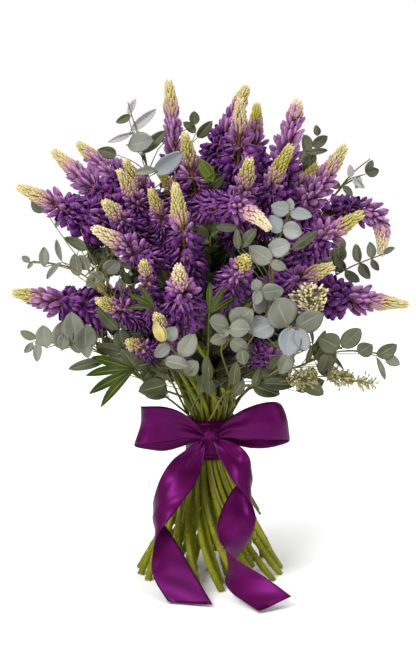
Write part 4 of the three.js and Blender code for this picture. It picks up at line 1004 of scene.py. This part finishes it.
def stem_line(spike, place):
    """Points and radii of one stem from its cut end to the foot of its bud cone."""
    out = math.hypot(*place)
    inner = STEM_RING_RADII[0] + 1 < out < STEM_RING_RADII[-1] - 1
    foot = SHORTEST_FOOT * ((spike.order * 7) % 5 + 1) / 5 if inner and spike.order % 3 == 1 else 0
    shares = np.linspace(0, 1, 10)
    points = [fanned(place, mix(foot, WAIST_LOW, t)) for t in shares]
    radii = [mix(FOOT_RADIUS, STEM_RADIUS, t) for t in shares]
    high = np.array([*place, WAIST_HIGH])
    flare = HEAD_FLARE / STEM_RING_RADII[-1]
    leave = unit(spike.at(0.1) - spike.base)
    gap = np.linalg.norm(spike.base - high)
    rise = np.array([flare * place[0], flare * place[1], 1]) * gap * STEM_RISE
    for t in np.linspace(0, 1, 10)[:-1]:
        points.append(hermite(high, rise, spike.base, leave * gap * STEM_ARRIVAL, t))
        radii.append(mix(STEM_RADIUS, RACHIS_RADIUS, t) * mix(1, NECK_RADIUS / 2.15, t))
    for t in np.linspace(0, spike.share, 8):
        points.append(spike.at(t))
        radii.append(RACHIS_RADIUS)
    return np.array(points), np.array(radii)


def leaf_scar(point, along, radius, chance):
    """The swollen joint where a leaf was stripped off, with a stub on one side."""
    steps = np.array([-1.6, -0.7, 0, 0.8, 1.8]) * 1.4
    swell = np.array([0.98, 1.1, 1.2, 1.1, 0.98])
    ring = tube(point + along * steps[:, None], radius * swell, 10)
    angle = chance.uniform(0, 2 * math.pi)
    across = unit(np.cross(along, [math.cos(angle), math.sin(angle), 0.3]))
    stub = tube([point, point + across * (radius + 1.2) + along * 1.6], [1.5, 1.1], 6, 0.6)
    return ring, stub


def stems_piece(spikes, material):
    """Every stem, with its pale cut end and two leaf scars."""
    places = tie_places(spikes)
    skin = Skin()
    for spike in spikes:
        chance = np.random.RandomState(STEM_SEED + spike.order)
        points, radii = stem_line(spike, places[spike.name])
        shade = chance.uniform(0, 1)
        form = tube(points, radii, STEM_SIDES, 0.0, STEM_RIBS)
        height = np.clip(form.points[:, 2] / HEIGHT_OF_PAINT, 0, 1)
        step = points[1] - points[0]
        ends = [points[0] - step * 0.002, points[0] + step * 0.004]
        cut = tube(ends, [radii[0] * 0.9] * 2, STEM_SIDES, 1.0)
        for part in (form, cut):
            part.points[:, 2] = np.maximum(part.points[:, 2], CLEAR_OF_FLOOR)
        skin.add(form, 0.0, shade)
        skin.paint[-1][:, 1] = height
        skin.add(cut, 0.0, shade)
        for at in chance.uniform(0.8, 6.5, 2):
            k = int(at)
            point = mix(points[k], points[k + 1], at - k)
            for part in leaf_scar(point, unit(points[k + 1] - points[k]), radii[k], chance):
                skin.add(part, 0.2, shade)
    make_piece("stems", skin, material, "lupin_stems")


# ---------------------------------------------------------------- foliage
# Radii of a spray's tip and of the short twigs that carry its set and its backing leaves.
TWIG_TIP, SET_TWIG, BACKING_TWIG = 0.7, 0.45, 0.4
# Points of a spray's line: how far below a leaf its twig leaves it, and the first it may leave from.
STEP_BACK, FIRST_POINT = 2, 2
TOWARDS_EYE = np.array([0, -1, 0.14])
SET_FULLNESS_ALONG, SET_FULLNESS_ACROSS = 1.06, 1.16


def eucalyptus_leaf(curl, twist, wave, rows=11, columns=9):
    """A round leaf of length 1 along x with a short petiole, z up. It is stamped to size."""
    def point(u, v):
        half = LEAF_WIDTH / 2 * (math.sin(math.pi * min(1, u * 0.985 + 0.015) ** 0.86)) ** 0.62
        if u > 0.9:
            half *= mix(1, 0.55, (u - 0.9) / 0.1)
        lift = 0.3 * half * abs(v) ** 1.5 + curl * u * u + wave * math.sin(5 * u + 2 * v) * abs(v)
        return [0.05 + 0.97 * u, half * v, lift + twist * v * u * 0.4 - 0.012 * (abs(v) < 0.05)]

    petiole = tube([(-0.02, 0, 0), (0.06, 0, 0), (0.14, 0, 0.0)], [0.03, 0.024, 0.01], 5, 1.0)
    return together(petal_sheet(point, rows, columns, 0.018), petiole)


def leaf_nodes(first, leaf, route):
    """Share along the route and leaf length at each pair of leaves."""
    length, nodes, t = route_length(route), [], first
    while t < 1:
        size = leaf * mix(1, LEAF_TAPER, ((t - first) / (1 - first)) ** 1.5)
        nodes.append((t, size))
        t += size * NODE_STEP / length
    return nodes


def leaf_frame(out, side):
    """A leaf's own axes as rows, from where it points and where its side is."""
    return np.stack([out, side, np.cross(out, side)])


def leaf_axes(axes, hand, size, draw):
    """The axes and length of one leaf of a spray, from the same draws as the solids."""
    along, up, across = axes
    lean, roll, tilt = mix(0.05, 0.4, draw()), mix(-0.5, 0.5, draw()), mix(-0.4, 0.4, draw())
    length = size * mix(0.88, 1.06, draw())
    out = unit(across * (hand or 0.2 * roll) + along * (lean if hand else 1) + up * 0.5 * roll)
    face = up + across * roll + along * tilt
    return leaf_frame(out, unit(np.cross(face, out))), length


def set_leaves(skin, line, groups, seed, forms, twig=SET_TWIG):
    """Leaves at their own pixels, each on a short twig that leaves the spray's line below it."""
    chance = np.random.RandomState(seed)
    for depth, leaves, *back in groups:
        step_back = back[0] if back else STEP_BACK
        for foot_x, foot_y, tip_x, tip_y, slim, olive in leaves:
            foot, tip = seen_at(foot_x, foot_y, depth), seen_at(tip_x, tip_y, depth)
            tip = tip + [0, chance.uniform(-0.35, 0.2) * np.linalg.norm(tip - foot), 0]
            out = unit(tip - foot)
            face = unit(TOWARDS_EYE - out * (TOWARDS_EYE @ out))
            face = turned(face, out, chance.uniform(-0.45, 0.45))
            nearest = int(np.argmin(np.linalg.norm(line - foot, axis=1)))
            start = line[max(FIRST_POINT, nearest - step_back - chance.randint(0, 5))]
            gap = np.linalg.norm(foot - start)
            bow = (start + foot) / 2 + [chance.uniform(-0.12, 0.12) * gap, 0, 0.06 * gap]
            skin.twig(smooth_line([start, bow, foot], 6), 1.5 * twig, twig, 5, olive)
            size = np.linalg.norm(tip - foot)
            full = [size * SET_FULLNESS_ALONG, size * SET_FULLNESS_ACROSS * slim / LEAF_WIDTH, size]
            form = forms[chance.randint(len(forms))]
            frames = leaf_frame(out, np.cross(face, out))[None]
            skin.stamp(form, foot[None], frames, [full], [olive], [chance.uniform()])


def backing_leaves(skin, line, box, depth, count, olive, seed, forms):
    """Small leaves at random in a box of pixels, set as the others are."""
    chance = np.random.RandomState(seed)
    leaves = []
    for _ in range(count):
        x, y = chance.uniform(box[0], box[2]), chance.uniform(box[1], box[3])
        angle, reach = chance.uniform(0, 2 * math.pi), chance.uniform(7, 10)
        dx, dy = reach * math.cos(angle), reach * math.sin(angle)
        slim, shade = chance.uniform(0.4, 0.75), olive + chance.uniform(-0.35, 0.35)
        leaves.append((x - dx, y - dy, x + dx, y + dy, slim, shade))
    set_leaves(skin, line, [(depth, leaves, 0)], seed, forms, BACKING_TWIG)


def paired_leaves(skin, route, face, first, nodes, wide, olive, seed, forms):
    """Leaves in pairs along a spray, each pair turned from the last, and one at the tip."""
    draw, chance = draws(seed), np.random.RandomState(seed)
    places = [smooth_at(route, first * 2 / 3), *(smooth_at(route, t) for t, _ in nodes)]
    for j, (_, size) in enumerate(nodes):
        at_tip = j == len(nodes) - 1
        along = unit(places[j + 1 if at_tip else j + 2] - places[j])
        up = unit(np.array(face, float) - along * (np.array(face) @ along))
        up = turned(up, along, (1 if j % 2 else -1) * NODE_TURN)
        for hand in ([0] if at_tip else [-1, 1]):
            frames, length = leaf_axes((along, up, np.cross(up, along)), hand, size, draw)
            form = forms[chance.randint(len(forms))]
            tint = np.clip(olive + chance.uniform(-0.15, 0.15), 0, 1)
            full = [length * LEAF_FULLNESS_ALONG, length * wide, length]
            skin.stamp(form, places[j + 1][None], frames[None], [full], [tint], [chance.uniform(0, 1)])


def eucalyptus_pieces(material):
    """The sprays. Their leaves are those set one by one, where there are any, and otherwise in pairs."""
    forms = [eucalyptus_leaf(0.0, 0.0, 0.0), eucalyptus_leaf(0.12, 0.15, 0.03),
             eucalyptus_leaf(-0.12, -0.15, 0.02), eucalyptus_leaf(0.22, 0.05, -0.04)]
    small_forms = [eucalyptus_leaf(0.1, 0.1, 0.02, 6, 7), eucalyptus_leaf(-0.15, -0.2, 0.05, 6, 7)]
    for k, (name, slot, face, first, leaf, olive, path) in enumerate(EUCALYPTUS):
        skin, seed, route = Skin(), SPRAY_SEED + k, twig_route(slot, path)
        nodes = leaf_nodes(first, leaf, route)
        line = twig_line(slot, path, nodes[-1][0])
        skin.twig(line, TWIG_RADIUS, TWIG_TIP, 6, olive)
        if name in BACKING_LEAVES:
            backing_leaves(skin, line, *BACKING_LEAVES[name], seed, small_forms)
        if name in SET_LEAVES:
            set_leaves(skin, line, SET_LEAVES[name], seed, forms)
        else:
            wide = NARROW_LEAVES.get(name, LEAF_FULLNESS_ACROSS)
            paired_leaves(skin, route, face, first, nodes, wide, olive, seed, forms)
        make_piece("leaves_" + name, skin, material, "eucalyptus_" + name)


def inner_sprigs(material):
    """Foliage inside the bouquet, painted dark for the shade it stands in, on shoots that leave the tie and
    end between the flowers.
    """
    skin = Skin()
    forms = [eucalyptus_leaf(0.0, 0.0, 0.0, 6, 7), eucalyptus_leaf(0.2, 0.15, 0.05, 6, 7)]
    leafy_length, start_reach, middle_reach = 70, 15, 16
    for k in range(INNER_SPRIGS):
        chance = np.random.RandomState(INNER_SEED + k)
        share = (k + 0.5) / INNER_SPRIGS
        height = mix(*INNER_HEIGHTS, share ** 0.9)
        out = mix(*INNER_REACHES, share ** 1.7) * chance.uniform(0.7, 1)
        away = np.array([math.cos(k * GOLDEN), math.sin(k * GOLDEN), 0])
        start = away * start_reach + np.array([0, 0, WAIST_HIGH])
        middle = away * mix(middle_reach, out, 0.5) + np.array([0, 0, mix(WAIST_HIGH, height, 0.6)])
        route = [start, middle, away * out + np.array([0, 0, height])]
        skin.twig(smooth_line(route, 10), 2.2, 0.8, 5, 1.0)
        lowest = max(0.45, 1 - leafy_length / (height - WAIST_HIGH + 10))
        for m in range(INNER_LEAVES):
            t = mix(1, lowest, m / INNER_LEAVES)
            along = unit(smooth_at(route, min(1, t + 0.05)) - smooth_at(route, t - 0.05))
            spin = m * GOLDEN + chance.uniform(0, 1)
            across = unit(np.cross(along, away) * math.cos(spin) + away * math.sin(spin))
            outward = unit(across + along * 0.7)
            face = unit(np.cross(outward, chance.uniform(-1, 1, 3)) + (away + [0, 0, 0.5]) * 1.2)
            frames = leaf_frame(outward, unit(np.cross(face, outward)))[None]
            length = mix(*INNER_LENGTHS, share) * chance.uniform(0.85, 1.1)
            # An olive of 1.1 to 1.7 paints these leaves dark: painted shade.
            skin.stamp(forms[m % 2], smooth_at(route, t)[None], frames, [[length, length * 0.9, length]],
                       [chance.uniform(1.1, 1.7)], [chance.uniform(0, 1)])
    make_piece("leaves_inner", skin, material, "eucalyptus_back_left")


def seed_capsule():
    """A seed capsule, 5 mm along x, on a stalk of 5 mm."""
    capsule = tube([(x, 0, 0) for x in (4.6, 5.6, 7.2, 8.6, 9.6)], [0.5, 1.0, 1.25, 0.9, 0.15], 6)
    stalk = tube([(0, 0, 0), (4.8, 0, 0.2)], [0.35, 0.4], 4, 1.0)
    return together(capsule, stalk)


def seed_cluster(skin, route, at, length, radius, olive, seed, form):
    """Capsules in a spindle round a twig, each at the end of its own stalk."""
    capsules_per_area, turn, capsule_reach = 0.22, 2.4, 6
    chance = np.random.RandomState(seed)
    along = unit(smooth_at(route, min(1, at + 0.02)) - smooth_at(route, at - 0.02))
    side = unit(np.cross(along, [0.2, 1, 0.3]))
    count = int(length * radius * capsules_per_area)
    shares = np.linspace(-0.5, 0.42, count)
    girth = radius * np.cos(np.pi * shares * 0.85) * chance.uniform(0.2, 1, count)
    angles = np.arange(count) * turn + chance.uniform(-0.4, 0.4, count)
    leans = chance.uniform(0.1, 0.9, count)
    outward, frames = frames_about(along, np.cross(side, along), side, angles, leans)
    starts = smooth_at(route, at) + along * (shares * length)[:, None]
    places = starts + outward * np.maximum(0, girth - capsule_reach)[:, None]
    for start, place in zip(starts, places):
        skin.twig([start - along * 3, place], 0.35, 0.3, 4, olive)
    sizes = chance.uniform(0.7, 1.05, count)
    skin.stamp(form, places, frames, sizes, np.full(count, olive), chance.uniform(0, 1, count))


def seeded_piece(material):
    skin, form = Skin(), seed_capsule()
    route = twig_route(SEEDED_SLOT, SEEDED_PATH)
    branch = np.array([smooth_at(route, SEEDED_FORK), *SEEDED_BRANCH], float)
    skin.twig(twig_line(SEEDED_SLOT, SEEDED_PATH), TWIG_RADIUS, TWIG_TIP)
    skin.twig(smooth_line(branch, 14), 1.0, TWIG_TIP)
    for line, clusters, olive, seed in ((route, SEED_CLUSTERS, 0.7, CLUSTER_SEED),
                                        (branch, BRANCH_CLUSTERS, 0.0, BRANCH_CLUSTER_SEED)):
        for k, (at, length, radius) in enumerate(clusters):
            seed_cluster(skin, line, at, length, radius, olive, seed + k, form)
    make_piece("seeds", skin, material, "seeded_eucalyptus")


def leaflet():
    """One finger of a lupin leaf, of length 1 along x, folded a little along its midrib."""
    def point(u, v):
        half = 0.1 * math.sin(math.pi * min(1, u * 0.96 + 0.03) ** 1.15) ** 0.8
        return [u, half * v, 0.09 * math.sin(math.pi * u * 0.8) + half * abs(v) * 0.55 - 0.05 * u * u]

    return petal_sheet(point, 11, 5, 0.014)


def lupin_leaf_pieces(material):
    """Palmate leaves: leaflets that fan out from a hub, on a petiole that leaves the shoot."""
    shoot_tip, petiole_tip = 1.1, 0.8
    form = leaflet()
    for name, slot, path, leaves in LUPIN_LEAVES:
        skin = Skin()
        skin.twig(twig_line(slot, path), TWIG_RADIUS, shoot_tip, age=0.0)
        for k, (hub, start, bow, face, reach, turn, spread, fingers) in enumerate(leaves):
            chance = np.random.RandomState(LUPIN_LEAF_SEED + k)
            hub, start = np.array(hub, float), np.array(start, float)
            petiole = smooth_line([start, (start + hub) / 2 + np.array(bow), hub], 12)
            skin.twig(petiole, shoot_tip, petiole_tip, age=0.0)
            up = unit(face)
            onward = unit((hub - start) - up * ((hub - start) @ up))
            side = np.cross(onward, up)
            for m in range(fingers):
                angle = turn + mix(-spread, spread, m / (fingers - 1))
                length = reach * (0.78 + 0.22 * math.cos(angle - turn))
                out = onward * math.cos(angle) + side * math.sin(angle)
                tilt = chance.uniform(-0.35, 0.35)
                across = unit(np.cross(up, out) * math.cos(tilt) + up * math.sin(tilt))
                frames = leaf_frame(out, across)[None]
                skin.stamp(form, hub[None], frames, [length], [0.0], [chance.uniform(0, 0.6)])
        make_piece("leaves_lupin_" + name, skin, material, "lupin_leaves_" + name)


# ---------------------------------------------------------------- ribbon
RIBBON_COLUMNS, LOOP_ROWS, TAIL_ROWS, BAND_ROWS, BAND_COLUMNS = 17, 72, 96, 97, 9
LOWEST_RIBBON = 0.6


def ribbon_strip(stations, rows, fold):
    """A stretch of ribbon between its two edges, and its length. fold stands it off its plane."""
    upper, lower = (smooth_line([edges[k] for edges in stations], rows) for k in (0, 1))
    vs = np.linspace(-1, 1, RIBBON_COLUMNS)
    grid = mix(upper[:, None], lower[:, None], (vs[None, :, None] + 1) / 2)
    normal = unit(np.cross(np.gradient(grid, axis=1), np.gradient(grid, axis=0)))
    steps = np.linalg.norm(np.diff(grid[:, RIBBON_COLUMNS // 2], axis=0), axis=1)
    gone = np.concatenate([[0], np.cumsum(steps)])
    lift = np.array([[fold(d, gone[-1] - d, v) for v in vs] for d in gone])
    grid = grid + normal * lift[..., None]
    grid[..., 2] = np.maximum(grid[..., 2], LOWEST_RIBBON)
    return loft(sheet_rings(grid, RIBBON_THICK), 0.0, sheet_spots(np.linspace(0, 1, rows), vs)), gone[-1]


def hump(v, centre, width):
    return math.exp(-(((v - centre) / width) ** 2))


def soft_waves(gone, v):
    """The slight unevenness of satin that has been pulled and let go."""
    return 0.8 * math.sin(0.13 * gone + 2.2 * v) * math.cos(1.7 * v + 0.05 * gone)


def loop_fold(gone, left, v):
    """Pleats gathered into the knot at both ends of a loop, and a slight crown between."""
    near, far = math.exp(-gone / 24), math.exp(-left / 20)
    front = near * (-5.5 * hump(v, -0.4, 0.24) + 3.0 * hump(v, 0.05, 0.2) - 3.2 * hump(v, 0.5, 0.2))
    return front + 2.0 * math.sin(5 * v) * far + 2.6 * (1 - v * v) + soft_waves(gone, v)


def tail_fold(curls):
    """Pleats near the knot, and curls where the ribbon turns over: place, span and height."""
    def fold(gone, _, v):
        near = math.exp(-gone / 26)
        pleats = near * (3.2 * hump(v, 0.45, 0.28) - 2.6 * hump(v, -0.1, 0.22) + 1.6 * hump(v, -0.6, 0.25))
        curl = sum(height * hump(gone, at, span) for at, span, height in curls) * (1 - v * v)
        return pleats + curl + 0.8 * v * v + soft_waves(gone, v)

    return fold


def knot_form():
    """The knot: ribbon drawn round the middle of the bow, creased up and down."""
    sides, fullness = 28, 1.02
    angles = np.arange(sides) / sides * 2 * math.pi
    rings, spots = [], []
    for s in np.linspace(-1, 1, 17):
        girth = (1 - abs(s) ** 3.2 * 0.42) * (1 + 0.06 * math.cos(9 * s + 0.6))
        wrinkle = 1 + 0.03 * np.sin(3 * angles + 5 * s)
        x = np.full(sides, KNOT_AT[0] + s * KNOT_LENGTH / 2) + 0.8 * np.sin(angles)
        y = KNOT_AT[1] - fullness * KNOT_RADIUS * girth * wrinkle * np.cos(angles)
        z = KNOT_AT[2] + fullness * KNOT_HEIGHT * girth * wrinkle * np.sin(angles)
        rings.append(np.stack([x, y, z], -1))
        spots.append(np.stack([angles / 7, np.full(sides, s * 0.9), np.ones(sides)], -1))
    return loft(rings, 0.0, np.array(spots))


def band_form():
    """Two turns of ribbon round the stems, the second a little above the first and over it."""
    us, vs = np.linspace(0, 1, BAND_ROWS), np.linspace(-1, 1, BAND_COLUMNS)
    angles = (us * 4 + 0.5) * math.pi
    rise = mix(-1, 1, us) * (BAND_HEIGHT - RIBBON_WIDTH) / 2
    front = np.exp(-(((angles % (2 * math.pi) - 1.5 * math.pi) / 0.35) ** 2))
    grid = np.empty((BAND_ROWS, BAND_COLUMNS, 3))
    for j, v in enumerate(vs):
        radius = BAND_RADIUS + 0.25 + 0.75 * us + 0.5 * np.sin(8 * v + 3 * angles) * front * 0.6
        height = TIE_HEIGHT + rise + v * RIBBON_WIDTH / 2
        grid[:, j] = np.stack([radius * np.cos(angles), radius * np.sin(angles), height], -1)
    return loft(sheet_rings(grid, RIBBON_THICK), 0.0, sheet_spots(us, vs))


def ribbon_piece(name, form, material, node):
    skin = Skin()
    skin.add(form)
    return make_piece("ribbon_" + name, skin, material, "ribbon_" + node)


def ribbon_pieces(material):
    piece = ribbon_piece("turns", band_form(), material, "band")
    for name, stations in (("left", LOOP_LEFT), ("right", LOOP_RIGHT)):
        form, length = ribbon_strip(stations, LOOP_ROWS, loop_fold)
        piece = ribbon_piece("loop_" + name, form, material, "bow")
    ribbon_piece("knot", knot_form(), material, "bow")
    for name, stations, curls in (("left", TAIL_LEFT, CURLS_LEFT), ("right", TAIL_RIGHT, CURLS_RIGHT)):
        form, length = ribbon_strip(stations, TAIL_ROWS, tail_fold(curls))
        piece = ribbon_piece("end_" + name, form, material, "tail_" + name)


# ---------------------------------------------------------------- camera, floor and light
def add_camera():
    camera = linked("camera", bpy.data.cameras.new("camera"))
    back = Vector((0, -math.cos(EYE_ELEVATION), math.sin(EYE_ELEVATION)))
    camera.location = LOOK_AT + back * EYE_DISTANCE
    camera.rotation_euler = (-back).to_track_quat("-Z", "Y").to_euler()
    camera.data.sensor_width = SENSOR
    camera.data.lens = FOCAL_PIXELS * SENSOR / LONG_SIDE
    bpy.context.scene.camera = camera


def add_floor():
    corners = [(x * FLOOR_HALF, y * FLOOR_HALF, 0) for x, y in ((-1, -1), (1, -1), (1, 1), (-1, 1))]
    mesh = bpy.data.meshes.new("floor")
    mesh.from_pydata(corners, [], [(0, 1, 2, 3)])
    paper = Nodes("paper", 0.9)
    mesh.materials.append(paper.finish(paper.mixed(paper.noise(3.0), (252, 252, 252), (254, 254, 254))))
    linked("floor", mesh)


def add_lights():
    """A world that is white to the camera and dim to the bouquet, a soft sun and three softboxes."""
    world = bpy.data.worlds.new("studio")
    world.use_nodes = True
    tree = world.node_tree
    background, seen = tree.nodes["Background"], tree.nodes.new("ShaderNodeLightPath")
    strength = tree.nodes.new("ShaderNodeMapRange")
    strength.inputs["To Min"].default_value = AMBIENT
    strength.inputs["To Max"].default_value = 1.0
    tree.links.new(seen.outputs["Is Camera Ray"], strength.inputs["Value"])
    tree.links.new(strength.outputs["Result"], background.inputs["Strength"])
    background.inputs["Color"].default_value = (1, 1, 1, 1)
    bpy.context.scene.world = world
    sun = linked("overhead", bpy.data.lights.new("overhead", "SUN"))
    sun.data.energy, sun.data.angle = SUN_STRENGTH, SUN_ANGLE
    sun.location = (0, 0, 3)
    for name, place, size, power in SOFTBOXES:
        lamp = linked(name, bpy.data.lights.new(name, "AREA"))
        lamp.data.size, lamp.data.energy = size, power
        lamp.location = place
        lamp.rotation_euler = (LOOK_AT - Vector(place)).to_track_quat("-Z", "Y").to_euler()
    bpy.context.scene.view_settings.view_transform = "Standard"


# ---------------------------------------------------------------- the whole bouquet
add_camera()
add_floor()
add_lights()
spikes = [Spike(order, *row) for order, row in enumerate(SPIKES)]
petal = petal_material()
floret_forms = [young_floret(), open_floret(0.3, 1.2, 3.0, 2.6), open_floret(1.4, 2.2, 1.6, 4.2),
                open_floret(0.7, 0.4, 4.2, 1.2)]
for spike in spikes:
    floret_piece(spike, petal, floret_forms)
bud_cones(spikes, bud_material())
stems_piece(spikes, stem_material())
leaf_look = leaf_material()
eucalyptus_pieces(leaf_look)
inner_sprigs(leaf_look)
seeded_piece(seed_material())
lupin_leaf_pieces(lupin_leaf_material())
ribbon_pieces(ribbon_material())
